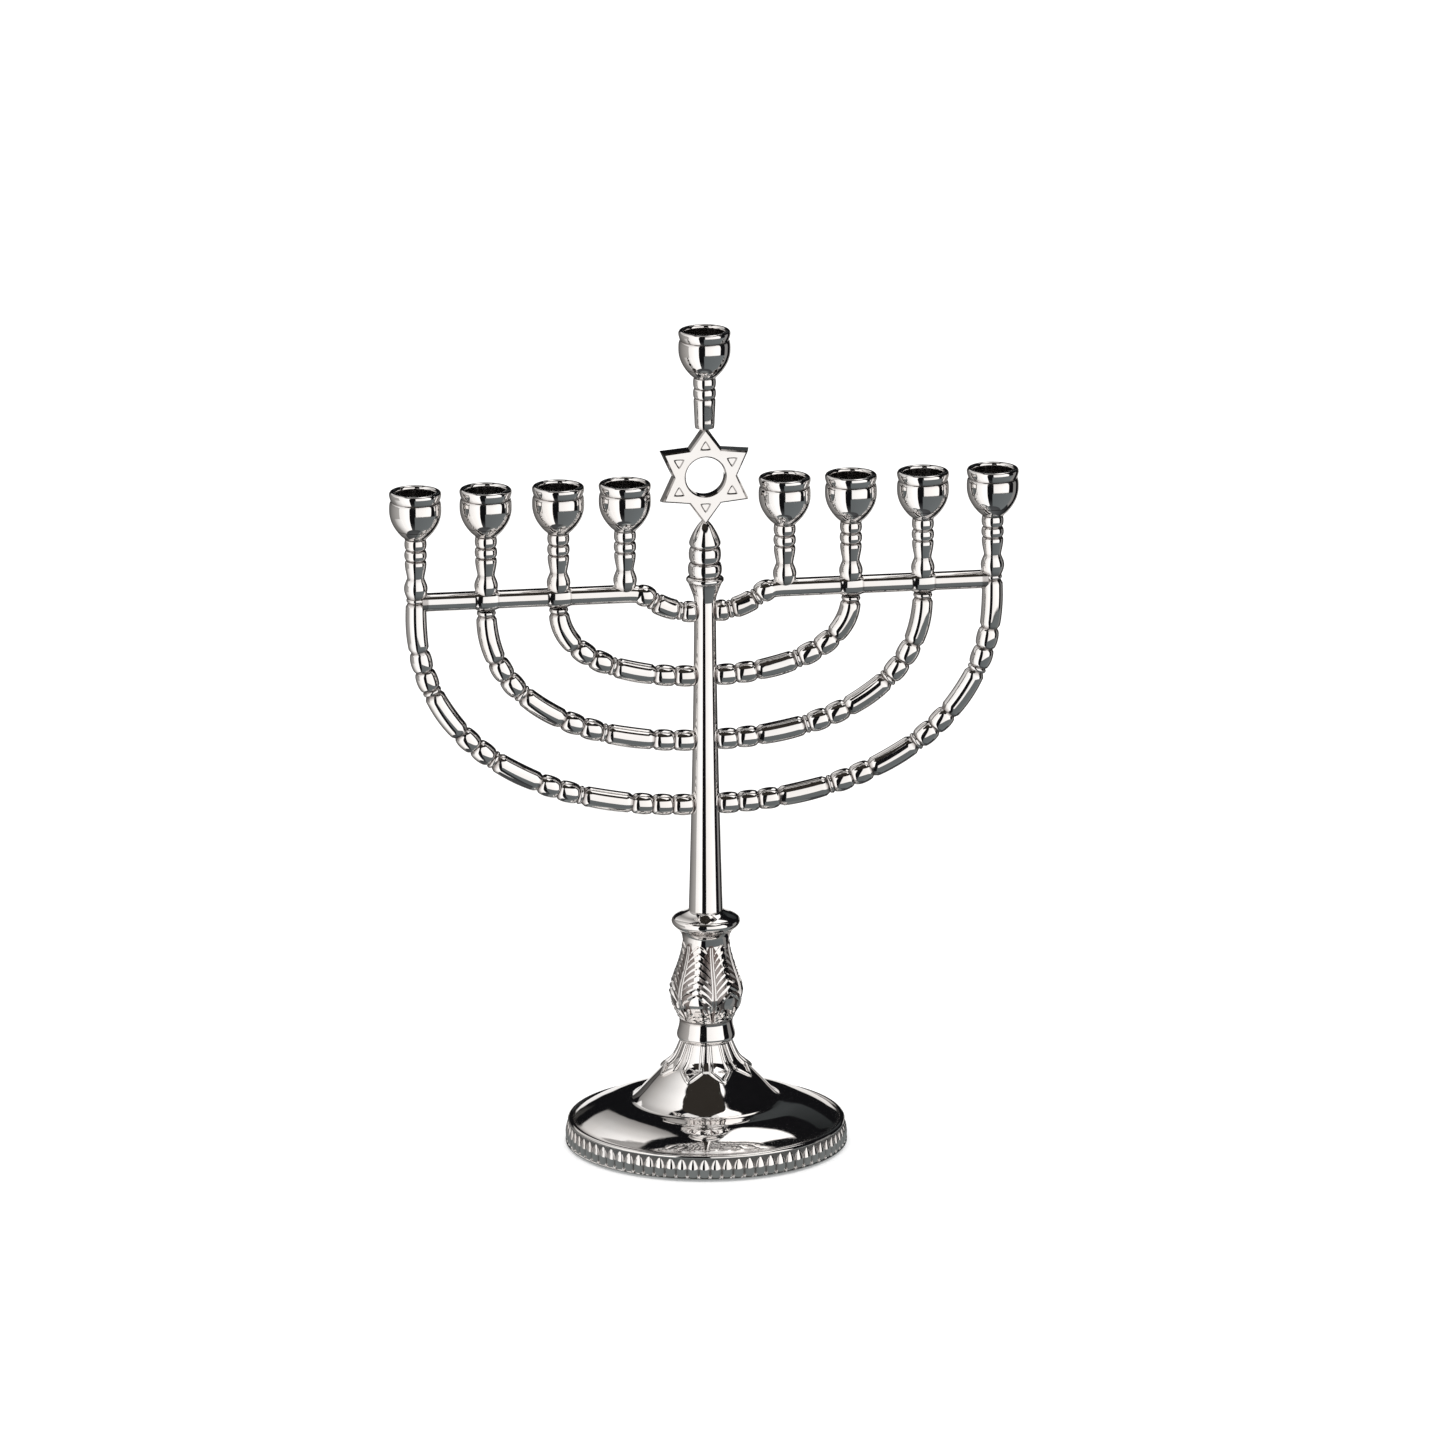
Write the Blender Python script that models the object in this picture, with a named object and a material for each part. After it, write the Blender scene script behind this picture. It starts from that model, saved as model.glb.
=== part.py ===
"""A nine-light menorah, modelled as the separate pieces it is assembled from.

Metres, +Z up.  The foot stands on z = 0, the column rises along the Z axis, the arms lie in the XZ plane
and the front faces -Y.  A threaded rod with a nut under the foot clamps the column to the base, so the whole
head can be turned on the base about the Z axis.  The other pieces are soldered to each other, and each joint
keeps a small gap.
"""

import math

import bmesh
import bpy
from mathutils import Vector

MM = 0.001
GAP = 0.3 * MM  # between pieces that touch

# Foot: a hollow casting on a felt pad.
FELT_PROUD = 0.5 * MM
FELT_THICKNESS = 1.5 * MM
RIM_RADIUS = 38.8 * MM
RIM_HEIGHT = 6.6 * MM
RIM_WALL = 2.8 * MM
RIM_ROUND = 0.9 * MM
RIM_LIP_WIDTH = 1.5 * MM
RIM_LIP_RISE = 0.6 * MM
DISC_CROWN = 0.5 * MM
STEP_RADIUS = 23.5 * MM
STEP_HEIGHT = 12.9 * MM
SHOULDER_RADIUS = 18.0 * MM
SHOULDER_HEIGHT = 16.6 * MM
NECK_RADIUS = 6.6 * MM
BASE_HEIGHT = 29.0 * MM
FLARE_POWER = 1.5
BASE_WALL = 1.6 * MM
LEDGE_WIDTH = 2.5 * MM

# Clamp: a metric rod from the foot's cavity into the stem.
ROD_RADIUS = 2.0 * MM
ROD_CLEARANCE = 0.3 * MM
ROD_IN_STEM = 9.0 * MM
ROD_BELOW_NUT = 1.5 * MM
NUT_ACROSS_FLATS = 7.0 * MM
NUT_HEIGHT = 3.2 * MM
WASHER_RADIUS = 5.0 * MM
WASHER_THICKNESS = 1.0 * MM

# Column, from the foot up.
RING_BULGE = 1.3 * MM
RING_HEIGHT = 5.3 * MM
BALUSTER_FOOT_RADIUS = 7.3 * MM
BELLY_RADIUS = 10.0 * MM
WAIST_RADIUS = 6.7 * MM
FLANGE_RADIUS = 9.6 * MM
BALUSTER_HEIGHT = 31.3 * MM
STEM_BOTTOM_RADIUS = 4.7 * MM
STEM_TOP_RADIUS = 3.0 * MM
STEM_TAPER_POWER = 1.5
STEM_HEIGHT = 87.2 * MM
CROWN_RADIUS = 5.2 * MM
CROWN_HEIGHT = 6.7 * MM
FINIAL_RADIUS = 4.7 * MM
FINIAL_NECK_RADIUS = 3.9 * MM
FINIAL_TIP_RADIUS = 2.6 * MM
FINIAL_HEIGHT = 14.0 * MM
STAR_TIP_RADIUS = 13.85 * MM
STAR_NOTCH_RADIUS = 8.7 * MM
STAR_HOLE_RADIUS = 5.4 * MM
STAR_THICKNESS = 3.6 * MM
STAR_BEVEL = 0.7 * MM
SHAMASH_SHANK_HEIGHT = 13.1 * MM

# Arms and crossbars.
FIRST_RISER_X = 22.0 * MM
RISER_PITCHES = (18.3 * MM, 19.9 * MM, 19.3 * MM)  # from each side cup to the next one out
FIRST_ARM_BELOW_STEM_TOP = 2.8 * MM
ARM_JOINT_PITCH = 18.2 * MM
CROSSBAR_ABOVE_FIRST_ARM = 5.8 * MM
ARM_SQUARENESS = 2.25  # 2 is an ellipse, more is squarer
ARM_RADIUS = 2.95 * MM
BEAD_RADIUS = 3.05 * MM
BEAD_NECK_RADIUS = 2.45 * MM
BEAD_LENGTH = 5.6 * MM
BARREL_SHOULDER = 1.0 * MM
BEADS_BY_ARM = ((1,), (2, 2), (2, 2, 2), (3, 2, 2, 2))  # before each barrel, from the stem outwards
CROSSBAR_RADIUS = 2.5 * MM
KNUCKLE_BULGE = 0.5 * MM
KNUCKLE_LENGTH = 6.0 * MM
ARM_END_UPRIGHT = 1.0 * MM  # the last straight bit of an arm, so that its end face lies level under the bar
ELBOW_LENGTH = 6.0 * MM
ELBOW_DROP = 1.8 * MM
ELBOW_FROM_RISER = 1.0 * MM

# Shanks and candle cups.
SHANK_HEIGHT = 14.5 * MM
SHANK_BEAD_RADIUS = 3.1 * MM
SHANK_BEAD_HEIGHT = 2.9 * MM
SHANK_BODY_RADIUS = 3.0 * MM
SHANK_NECK_RADIUS = 2.4 * MM
SHANK_ROOT_HEIGHT = 3.5 * MM
CUP_BORE_RADIUS = 5.4 * MM
CUP_WALL = 1.75 * MM
CUP_THROAT_DEPTH = 0.35 * MM
CUP_FOOT_RADIUS = 3.1 * MM
CUP_FLOOR_INSET = 1.6 * MM
CUP_HEIGHT = 13.3 * MM
CUP_DEPTH = 10.8 * MM
CUP_LIP = 1.2 * MM
CUP_LIP_ROUND = 0.36 * MM
CUP_THROAT_DROP = 1.1 * MM
CUP_SOCKET_TAPER = 2.6 * MM
CUP_BOWL_HEIGHT = 7.6 * MM
CUP_BOWL_POWER = 0.8

# Roundness of the pieces.
BASE_SIDES = 48
COLUMN_SIDES = 20
SHANK_SIDES = 10
CUP_SIDES = 16
BORE_SIDES = 24
ROD_BEVEL_RESOLUTION = 2  # gives eight sides

# Sizes that follow from the ones above.
DISC_RADIUS = RIM_RADIUS - RIM_LIP_WIDTH
DISC_HEIGHT = RIM_HEIGHT + RIM_LIP_RISE
RING_RADIUS = NECK_RADIUS + RING_BULGE
KNUCKLE_RADIUS = CROSSBAR_RADIUS + KNUCKLE_BULGE
RISER_X = tuple(FIRST_RISER_X + sum(RISER_PITCHES[:number]) for number in range(len(RISER_PITCHES) + 1))
ELBOW_START_X = RISER_X[0] - ELBOW_FROM_RISER
ELBOW_END_X = ELBOW_START_X - ELBOW_LENGTH
CUP_RADIUS = CUP_BORE_RADIUS + CUP_WALL

# Heights on the column, each piece on the one below.
RING_Z = BASE_HEIGHT + GAP
BALUSTER_Z = RING_Z + RING_HEIGHT + GAP
STEM_Z = BALUSTER_Z + BALUSTER_HEIGHT + GAP
CROWN_Z = STEM_Z + STEM_HEIGHT + GAP
FINIAL_Z = CROWN_Z + CROWN_HEIGHT + GAP
STAR_Z = FINIAL_Z + FINIAL_HEIGHT + GAP + STAR_TIP_RADIUS
SHAMASH_SHANK_Z = STAR_Z + STAR_TIP_RADIUS + GAP
SHAMASH_CUP_Z = SHAMASH_SHANK_Z + SHAMASH_SHANK_HEIGHT + GAP
FIRST_ARM_Z = STEM_Z + STEM_HEIGHT - FIRST_ARM_BELOW_STEM_TOP
CROSSBAR_Z = FIRST_ARM_Z + CROSSBAR_ABOVE_FIRST_ARM
SHANK_Z = CROSSBAR_Z + KNUCKLE_RADIUS + GAP
CUP_Z = SHANK_Z + SHANK_HEIGHT + GAP

# Inside the foot.
BORE_RADIUS = ROD_RADIUS + ROD_CLEARANCE
CAVITY_TOP = SHOULDER_HEIGHT - BASE_WALL
RECESS_RADIUS = RIM_RADIUS - RIM_WALL
PAD_RADIUS = RECESS_RADIUS - GAP
LEDGE_Z = FELT_THICKNESS + GAP
WASHER_Z = CAVITY_TOP - GAP - WASHER_THICKNESS
NUT_Z = WASHER_Z - GAP - NUT_HEIGHT
ROD_Z = NUT_Z - ROD_BELOW_NUT
ROD_TOP = STEM_Z + ROD_IN_STEM


# Scene, materials and small builders.


def clear_scene():
    for item in list(bpy.data.objects):
        bpy.data.objects.remove(item, do_unlink=True)


def make_material(name, colour, roughness, metallic):
    material = bpy.data.materials.new(name)
    material.use_nodes = True
    shader = material.node_tree.nodes["Principled BSDF"]
    shader.inputs["Base Color"].default_value = (*colour, 1.0)
    shader.inputs["Roughness"].default_value = roughness
    shader.inputs["Metallic"].default_value = metallic
    material.diffuse_color = (*colour, 1.0)
    return material


def make_empty(name, height):
    """An empty on the column's axis, which the pieces of one body are parented to."""
    empty = bpy.data.objects.new(name, None)
    empty.location = (0.0, 0.0, height)
    bpy.context.collection.objects.link(empty)
    return empty


def place(name, data, material, body, at=(0.0, 0.0, 0.0), turn=0.0):
    """Adds a piece to a body, at a point of the world and turned about the vertical."""
    if not data.materials:
        data.materials.append(material)
    piece = bpy.data.objects.new(name, data)
    bpy.context.collection.objects.link(piece)
    piece.parent = body
    piece.location = Vector(at) - body.location
    piece.rotation_euler = (0.0, 0.0, turn)
    return piece


def turned_mesh(name, outline, sides, closed=False):
    """A mesh turned about Z from (radius, height) points that run down its outer side."""
    bm = bmesh.new()
    points = [bm.verts.new((radius, 0.0, height)) for radius, height in outline]
    edges = [bm.edges.new(pair) for pair in zip(points, points[1:])]
    if closed:
        edges.append(bm.edges.new((points[-1], points[0])))
    bmesh.ops.spin(
        bm,
        geom=points + edges,
        cent=(0.0, 0.0, 0.0),
        axis=(0.0, 0.0, 1.0),
        angle=math.tau,
        steps=sides,
    )
    bmesh.ops.remove_doubles(bm, verts=bm.verts, dist=0.001 * MM)
    bmesh.ops.recalc_face_normals(bm, faces=bm.faces)
    mesh = bpy.data.meshes.new(name)
    bm.to_mesh(mesh)
    bm.free()
    mesh.shade_smooth()
    mesh.set_sharp_from_angle(angle=math.radians(50.0))
    return mesh


def rod_curve(name, stations):
    """A round rod along (point, radius) stations, as a curve with a bevel and filled ends."""
    curve = bpy.data.curves.new(name, "CURVE")
    curve.dimensions = "3D"
    curve.bevel_depth = 1.0
    curve.bevel_resolution = ROD_BEVEL_RESOLUTION
    curve.use_fill_caps = True
    spline = curve.splines.new("POLY")
    spline.points.add(len(stations) - 1)
    for point, (position, radius) in zip(spline.points, stations):
        point.co = (*position, 1.0)
        point.radius = radius
    return curve


def bore(piece, radius, axis_turn=(0.0, 0.0, 0.0)):
    """Cuts a round hole right through a piece, along its own Z axis turned by axis_turn."""
    reach = 2.0 * max(piece.dimensions) + radius
    outline = [(0.0, reach), (radius, reach), (radius, -reach), (0.0, -reach)]
    cutter = bpy.data.objects.new(piece.name + "_cutter", turned_mesh("cutter", outline, BORE_SIDES))
    cutter.parent = piece
    cutter.rotation_euler = axis_turn
    cutter.hide_render = True
    cutter.display_type = "WIRE"
    bpy.context.collection.objects.link(cutter)
    hole = piece.modifiers.new("bore", "BOOLEAN")
    hole.operation = "DIFFERENCE"
    hole.object = cutter


def arc_share(count):
    """Shares from 0 to 1, both included."""
    return [step / (count - 1) for step in range(count)]


# Foot and clamp.


def flare_outline():
    """The neck's concave flare, from its top to the shoulder."""
    points = []
    for share in arc_share(7):
        radius = NECK_RADIUS + (SHOULDER_RADIUS - NECK_RADIUS) * share
        height = SHOULDER_HEIGHT + (BASE_HEIGHT - SHOULDER_HEIGHT) * (1.0 - share) ** FLARE_POWER
        points.append((radius, height))
    return points


def shoulder_outline():
    """The shoulder's quarter of an ellipse, down to the step."""
    points = []
    for share in arc_share(4)[1:]:
        angle = share * math.pi / 2.0
        radius = SHOULDER_RADIUS + (STEP_RADIUS - SHOULDER_RADIUS) * math.sin(angle)
        height = STEP_HEIGHT + (SHOULDER_HEIGHT - STEP_HEIGHT) * math.cos(angle)
        points.append((radius, height))
    return points


def disc_outline():
    """The broad disc from the step to the rim, crowned a little above a straight cone."""
    points = []
    for share in arc_share(5)[1:]:
        radius = STEP_RADIUS + (DISC_RADIUS - STEP_RADIUS) * share
        height = STEP_HEIGHT + (DISC_HEIGHT - STEP_HEIGHT) * share
        points.append((radius, height + DISC_CROWN * math.sin(math.pi * share)))
    return points


def rim_outline():
    """The rim's rounded outer side and the foot that it stands over."""
    return [
        (RIM_RADIUS - RIM_ROUND, RIM_HEIGHT),
        (RIM_RADIUS, RIM_HEIGHT - RIM_ROUND),
        (RIM_RADIUS, FELT_PROUD + RIM_ROUND),
        (RIM_RADIUS - RIM_ROUND, FELT_PROUD),
    ]


def cavity_outline():
    """The inner side, from the foot up to the rod's bore."""
    return [
        (RECESS_RADIUS, FELT_PROUD),
        (RECESS_RADIUS, LEDGE_Z),
        (RECESS_RADIUS - LEDGE_WIDTH, LEDGE_Z),
        (DISC_RADIUS - LEDGE_WIDTH, DISC_HEIGHT - BASE_WALL),
        (STEP_RADIUS - BASE_WALL, STEP_HEIGHT - BASE_WALL),
        (SHOULDER_RADIUS - BASE_WALL, CAVITY_TOP),
        (BORE_RADIUS, CAVITY_TOP),
        (BORE_RADIUS, BASE_HEIGHT),
    ]


def make_base(material, body):
    outline = flare_outline() + shoulder_outline() + disc_outline() + rim_outline() + cavity_outline()
    place("base", turned_mesh("base", outline, BASE_SIDES, closed=True), material, body)


def make_felt_pad(material, body):
    outline = [(0.0, FELT_THICKNESS), (PAD_RADIUS, FELT_THICKNESS), (PAD_RADIUS, 0.0), (0.0, 0.0)]
    place("felt_pad", turned_mesh("felt_pad", outline, BASE_SIDES), material, body)


def make_tie_rod(material, body):
    chamfer = ROD_RADIUS / 4.0
    outline = [
        (0.0, ROD_TOP),
        (ROD_RADIUS - chamfer, ROD_TOP),
        (ROD_RADIUS, ROD_TOP - chamfer),
        (ROD_RADIUS, ROD_Z + chamfer),
        (ROD_RADIUS - chamfer, ROD_Z),
        (0.0, ROD_Z),
    ]
    place("tie_rod", turned_mesh("tie_rod", outline, SHANK_SIDES), material, body)


def make_washer(material, body):
    top = WASHER_Z + WASHER_THICKNESS
    outline = [(WASHER_RADIUS, top), (WASHER_RADIUS, WASHER_Z), (BORE_RADIUS, WASHER_Z), (BORE_RADIUS, top)]
    place("washer", turned_mesh("washer", outline, BORE_SIDES, closed=True), material, body)


def make_nut(material, body):
    corner = NUT_ACROSS_FLATS / 2.0 / math.cos(math.pi / 6.0)
    outline = [(0.0, NUT_HEIGHT), (corner, NUT_HEIGHT), (corner, 0.0), (0.0, 0.0)]
    nut = place("nut", turned_mesh("nut", outline, 6), material, body, at=(0.0, 0.0, NUT_Z))
    bore(nut, BORE_RADIUS)


# Column.


def make_neck_ring(material, body):
    groove = (NECK_RADIUS + RING_RADIUS) / 2.0
    outline = [
        (BALUSTER_FOOT_RADIUS, RING_HEIGHT),
        (RING_RADIUS, RING_HEIGHT * 0.8),
        (RING_RADIUS, RING_HEIGHT * 0.4),
        (groove, RING_HEIGHT * 0.1),
        (NECK_RADIUS, 0.0),
        (BORE_RADIUS, 0.0),
        (BORE_RADIUS, RING_HEIGHT),
    ]
    mesh = turned_mesh("neck_ring", outline, COLUMN_SIDES, closed=True)
    place("neck_ring", mesh, material, body, at=(0.0, 0.0, RING_Z))


def belly_radius(share):
    """The baluster's radius from its foot, share 0, over the belly to the waist, share 1."""
    widest = 0.38
    if share < widest:
        swell = math.sin(share / widest * math.pi / 2.0)
        return BALUSTER_FOOT_RADIUS + (BELLY_RADIUS - BALUSTER_FOOT_RADIUS) * swell
    fall = math.cos((share - widest) / (1.0 - widest) * math.pi)
    return (BELLY_RADIUS + WAIST_RADIUS) / 2.0 + (BELLY_RADIUS - WAIST_RADIUS) / 2.0 * fall


def make_baluster(material, body):
    waist_height = BALUSTER_HEIGHT * 0.76
    flange_height = BALUSTER_HEIGHT - waist_height
    outline = [
        (STEM_BOTTOM_RADIUS, BALUSTER_HEIGHT),
        (FLANGE_RADIUS - flange_height * 0.12, BALUSTER_HEIGHT - flange_height * 0.08),
        (FLANGE_RADIUS, BALUSTER_HEIGHT - flange_height * 0.22),
        (FLANGE_RADIUS, BALUSTER_HEIGHT - flange_height * 0.40),
        (WAIST_RADIUS + (FLANGE_RADIUS - WAIST_RADIUS) * 0.35, BALUSTER_HEIGHT - flange_height * 0.65),
    ]
    outline += [(belly_radius(share), waist_height * share) for share in reversed(arc_share(9))]
    outline += [(BORE_RADIUS, 0.0), (BORE_RADIUS, BALUSTER_HEIGHT)]
    mesh = turned_mesh("baluster", outline, COLUMN_SIDES, closed=True)
    place("baluster", mesh, material, body, at=(0.0, 0.0, BALUSTER_Z))


def stem_radius(height):
    """The stem's radius at a height of the world."""
    share = min(max((STEM_Z + STEM_HEIGHT - height) / STEM_HEIGHT, 0.0), 1.0)
    return STEM_TOP_RADIUS + (STEM_BOTTOM_RADIUS - STEM_TOP_RADIUS) * share**STEM_TAPER_POWER


def make_stem(material, body):
    heights = [STEM_HEIGHT * (1.0 - share) for share in arc_share(9)]
    outline = [(0.0, STEM_HEIGHT)]
    outline += [(stem_radius(STEM_Z + height), height) for height in heights]
    outline += [(BORE_RADIUS, 0.0), (BORE_RADIUS, ROD_IN_STEM + GAP), (0.0, ROD_IN_STEM + GAP)]
    place("stem", turned_mesh("stem", outline, COLUMN_SIDES), material, body, at=(0.0, 0.0, STEM_Z))


def make_stem_crown(material, body):
    outline = [
        (0.0, CROWN_HEIGHT),
        (FINIAL_NECK_RADIUS, CROWN_HEIGHT),
        (CROWN_RADIUS, CROWN_HEIGHT * 0.92),
        (CROWN_RADIUS, CROWN_HEIGHT * 0.82),
        ((CROWN_RADIUS + STEM_TOP_RADIUS) / 2.0, CROWN_HEIGHT * 0.5),
        (STEM_TOP_RADIUS + (CROWN_RADIUS - STEM_TOP_RADIUS) * 0.1, CROWN_HEIGHT * 0.15),
        (STEM_TOP_RADIUS, 0.0),
        (0.0, 0.0),
    ]
    mesh = turned_mesh("stem_crown", outline, COLUMN_SIDES)
    place("stem_crown", mesh, material, body, at=(0.0, 0.0, CROWN_Z))


def make_finial(material, body):
    """Two beads and an acorn, whose top meets the star's lowest point."""
    bead = FINIAL_HEIGHT * 0.28
    acorn_foot = 2.0 * bead
    acorn_height = FINIAL_HEIGHT - acorn_foot
    outline = [(0.0, FINIAL_HEIGHT)]
    for share in arc_share(5):
        angle = share * math.pi / 2.0
        radius = FINIAL_TIP_RADIUS + (FINIAL_RADIUS - FINIAL_TIP_RADIUS) * math.sin(angle)
        outline.append((radius, acorn_foot + acorn_height * (1.0 - 0.75 * share)))
    for foot in (bead, 0.0):
        outline.append((FINIAL_NECK_RADIUS, foot + bead))
        outline.append((FINIAL_RADIUS, foot + bead * 0.7))
        outline.append((FINIAL_RADIUS, foot + bead * 0.3))
    outline += [(FINIAL_NECK_RADIUS, 0.0), (0.0, 0.0)]
    place("finial", turned_mesh("finial", outline, COLUMN_SIDES), material, body, at=(0.0, 0.0, FINIAL_Z))


def make_star(material, body):
    """A six-pointed plate in the XZ plane with bevelled edges and a round hole."""
    bm = bmesh.new()
    corners = []
    for corner in range(12):
        radius = STAR_NOTCH_RADIUS if corner % 2 else STAR_TIP_RADIUS
        angle = math.pi / 2.0 + corner * math.pi / 6.0
        front = -STAR_THICKNESS / 2.0
        corners.append(bm.verts.new((radius * math.cos(angle), front, radius * math.sin(angle))))
    face = bm.faces.new(corners)
    extruded = bmesh.ops.extrude_face_region(bm, geom=[face])
    back = [item for item in extruded["geom"] if isinstance(item, bmesh.types.BMVert)]
    bmesh.ops.translate(bm, verts=back, vec=(0.0, STAR_THICKNESS, 0.0))
    bmesh.ops.recalc_face_normals(bm, faces=bm.faces)
    mesh = bpy.data.meshes.new("star")
    bm.to_mesh(mesh)
    bm.free()
    star = place("star", mesh, material, body, at=(0.0, 0.0, STAR_Z))
    bevel = star.modifiers.new("edges", "BEVEL")
    bevel.width = STAR_BEVEL
    bevel.segments = 1
    bevel.angle_limit = math.radians(80.0)
    bpy.context.view_layer.update()
    bore(star, STAR_HOLE_RADIUS, axis_turn=(math.pi / 2.0, 0.0, 0.0))


# Shanks and cups.


def shank_bead_outline(top):
    """The points of one bead of a shank below the given height, without its lower neck."""
    return [
        (SHANK_NECK_RADIUS, top),
        (SHANK_BEAD_RADIUS, top - SHANK_BEAD_HEIGHT * 0.3),
        (SHANK_BEAD_RADIUS, top - SHANK_BEAD_HEIGHT * 0.7),
    ]


def shank_outline(height, root_height):
    """Two beads over a tapered body, which may stand on a round root."""
    body_top = height - 2.0 * SHANK_BEAD_HEIGHT
    outline = [(0.0, height)]
    outline += shank_bead_outline(height)
    outline += shank_bead_outline(height - SHANK_BEAD_HEIGHT)
    outline.append((SHANK_NECK_RADIUS, body_top))
    outline.append((SHANK_BODY_RADIUS, body_top - SHANK_BEAD_HEIGHT * 0.4))
    outline.append((SHANK_NECK_RADIUS, root_height))
    if root_height:
        outline.append((SHANK_BEAD_RADIUS, root_height * 0.5))
        outline.append((SHANK_BODY_RADIUS, 0.0))
    outline.append((0.0, 0.0))
    return outline


def make_shamash_light(material, body):
    shank = turned_mesh("shamash_shank", shank_outline(SHAMASH_SHANK_HEIGHT, 0.0), SHANK_SIDES)
    place("shamash_shank", shank, material, body, at=(0.0, 0.0, SHAMASH_SHANK_Z))
    cup = turned_mesh("shamash_cup", cup_outline(), CUP_SIDES)
    place("shamash_cup", cup, material, body, at=(0.0, 0.0, SHAMASH_CUP_Z))


def cup_outline():
    """The candle's socket from its flat floor to the mouth, the rolled lip and the tulip bowl."""
    floor = CUP_HEIGHT - CUP_DEPTH
    outline = [
        (0.0, floor),
        (CUP_BORE_RADIUS - CUP_FLOOR_INSET, floor),
        (CUP_BORE_RADIUS, floor + CUP_SOCKET_TAPER),
        (CUP_BORE_RADIUS, CUP_HEIGHT - CUP_LIP_ROUND),
        (CUP_BORE_RADIUS + CUP_LIP_ROUND, CUP_HEIGHT),
        (CUP_RADIUS - CUP_LIP_ROUND, CUP_HEIGHT),
        (CUP_RADIUS, CUP_HEIGHT - CUP_LIP_ROUND),
        (CUP_RADIUS, CUP_HEIGHT - CUP_LIP),
        (CUP_RADIUS - CUP_THROAT_DEPTH, CUP_HEIGHT - CUP_LIP - CUP_THROAT_DROP),
    ]
    for share in arc_share(5):
        angle = share * math.pi / 2.0
        radius = CUP_FOOT_RADIUS + (CUP_RADIUS - CUP_FOOT_RADIUS) * math.cos(angle) ** CUP_BOWL_POWER
        outline.append((radius, CUP_BOWL_HEIGHT * (1.0 - math.sin(angle))))
    outline.append((0.0, 0.0))
    return outline


def make_side_lights(material, body):
    shank = turned_mesh("shank", shank_outline(SHANK_HEIGHT, SHANK_ROOT_HEIGHT), SHANK_SIDES)
    cup = turned_mesh("cup", cup_outline(), CUP_SIDES)
    for side, direction in (("left", -1.0), ("right", 1.0)):
        for number, offset in enumerate(RISER_X, start=1):
            x = direction * offset
            place(f"{side}_shank_{number}", shank, material, body, at=(x, 0.0, SHANK_Z))
            place(f"{side}_cup_{number}", cup, material, body, at=(x, 0.0, CUP_Z))


# Arms and crossbars.


def bead_stations(start, length):
    """(distance, radius) along one bead of a rod."""
    return [
        (start, BEAD_NECK_RADIUS),
        (start + length * 0.25, BEAD_RADIUS),
        (start + length * 0.75, BEAD_RADIUS),
    ]


def barrel_stations(start, length):
    """(distance, radius) along one barrel of a rod."""
    stations = [(start, BEAD_NECK_RADIUS)]
    inner = length - 2.0 * BARREL_SHOULDER
    for share in arc_share(5):
        swell = 1.0 - 0.08 * (2.0 * share - 1.0) ** 2
        stations.append((start + BARREL_SHOULDER + inner * share, ARM_RADIUS * swell))
    return stations


def arm_pattern(length, groups):
    """(distance, radius) along an arm: each group of beads is followed by a barrel, all barrels alike."""
    barrel = (length - sum(groups) * BEAD_LENGTH) / len(groups)
    stations = []
    start = 0.0
    for beads in groups:
        for _ in range(beads):
            stations += bead_stations(start, BEAD_LENGTH)
            start += BEAD_LENGTH
        stations += barrel_stations(start, barrel)
        start += barrel
    return stations[:-1] + [(length, ARM_RADIUS * 0.95)]


def walk(path, distances):
    """The points at the given distances along a densely sampled path."""
    points = []
    travelled = 0.0
    step = 0
    for distance in distances:
        while step < len(path) - 2 and travelled + (path[step + 1] - path[step]).length < distance:
            travelled += (path[step + 1] - path[step]).length
            step += 1
        run = path[step + 1] - path[step]
        points.append(path[step] + run * ((distance - travelled) / run.length))
    return points


def path_length(path):
    return sum((after - before).length for before, after in zip(path, path[1:]))


def arm_path(number):
    """The centre line of arm 2, 3 or 4: a squarish quarter of an ellipse, from the stem to the crossbar."""
    reach = RISER_X[number - 1]
    joint_z = FIRST_ARM_Z - (number - 1) * ARM_JOINT_PITCH
    top_z = CROSSBAR_Z - KNUCKLE_RADIUS - GAP
    start_x = stem_radius(joint_z - ARM_RADIUS) + GAP
    outermost = number == len(RISER_X)
    points = [Vector((start_x, 0.0, joint_z))]
    power = 2.0 / ARM_SQUARENESS
    for share in arc_share(161):
        angle = share * math.pi / 2.0
        x = reach * math.sin(angle) ** power
        z = top_z - (top_z - joint_z) * math.cos(angle) ** power
        if x > start_x and z < top_z - ARM_END_UPRIGHT:
            points.append(Vector((x, 0.0, z)))
    points.append(Vector((reach, 0.0, top_z - ARM_END_UPRIGHT)))
    points.append(Vector((reach, 0.0, CROSSBAR_Z + KNUCKLE_RADIUS if outermost else top_z)))
    return points


def inner_arm_start():
    return stem_radius(FIRST_ARM_Z - ARM_RADIUS) + GAP


def inner_arm_arc():
    """The radius of arm 1's shallow arc, which leaves the stem level and ends at the crossbar's elbow."""
    rise = CROSSBAR_ABOVE_FIRST_ARM - ELBOW_DROP
    run = ELBOW_END_X - inner_arm_start()
    return (run**2 + rise**2) / (2.0 * rise)


def inner_arm_rise(x):
    """How far arm 1's arc has risen above its joint, x from the axis."""
    return inner_arm_arc() - math.sqrt(inner_arm_arc() ** 2 - (x - inner_arm_start()) ** 2)


def inner_arm_path():
    """The centre line of arm 1: a shallow arc from the stem up to the crossbar's elbow."""
    start_x = inner_arm_start()
    end_x = ELBOW_END_X - GAP
    points = []
    for share in arc_share(41):
        x = start_x + (end_x - start_x) * share
        points.append(Vector((x, 0.0, FIRST_ARM_Z + inner_arm_rise(x))))
    return points


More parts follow.
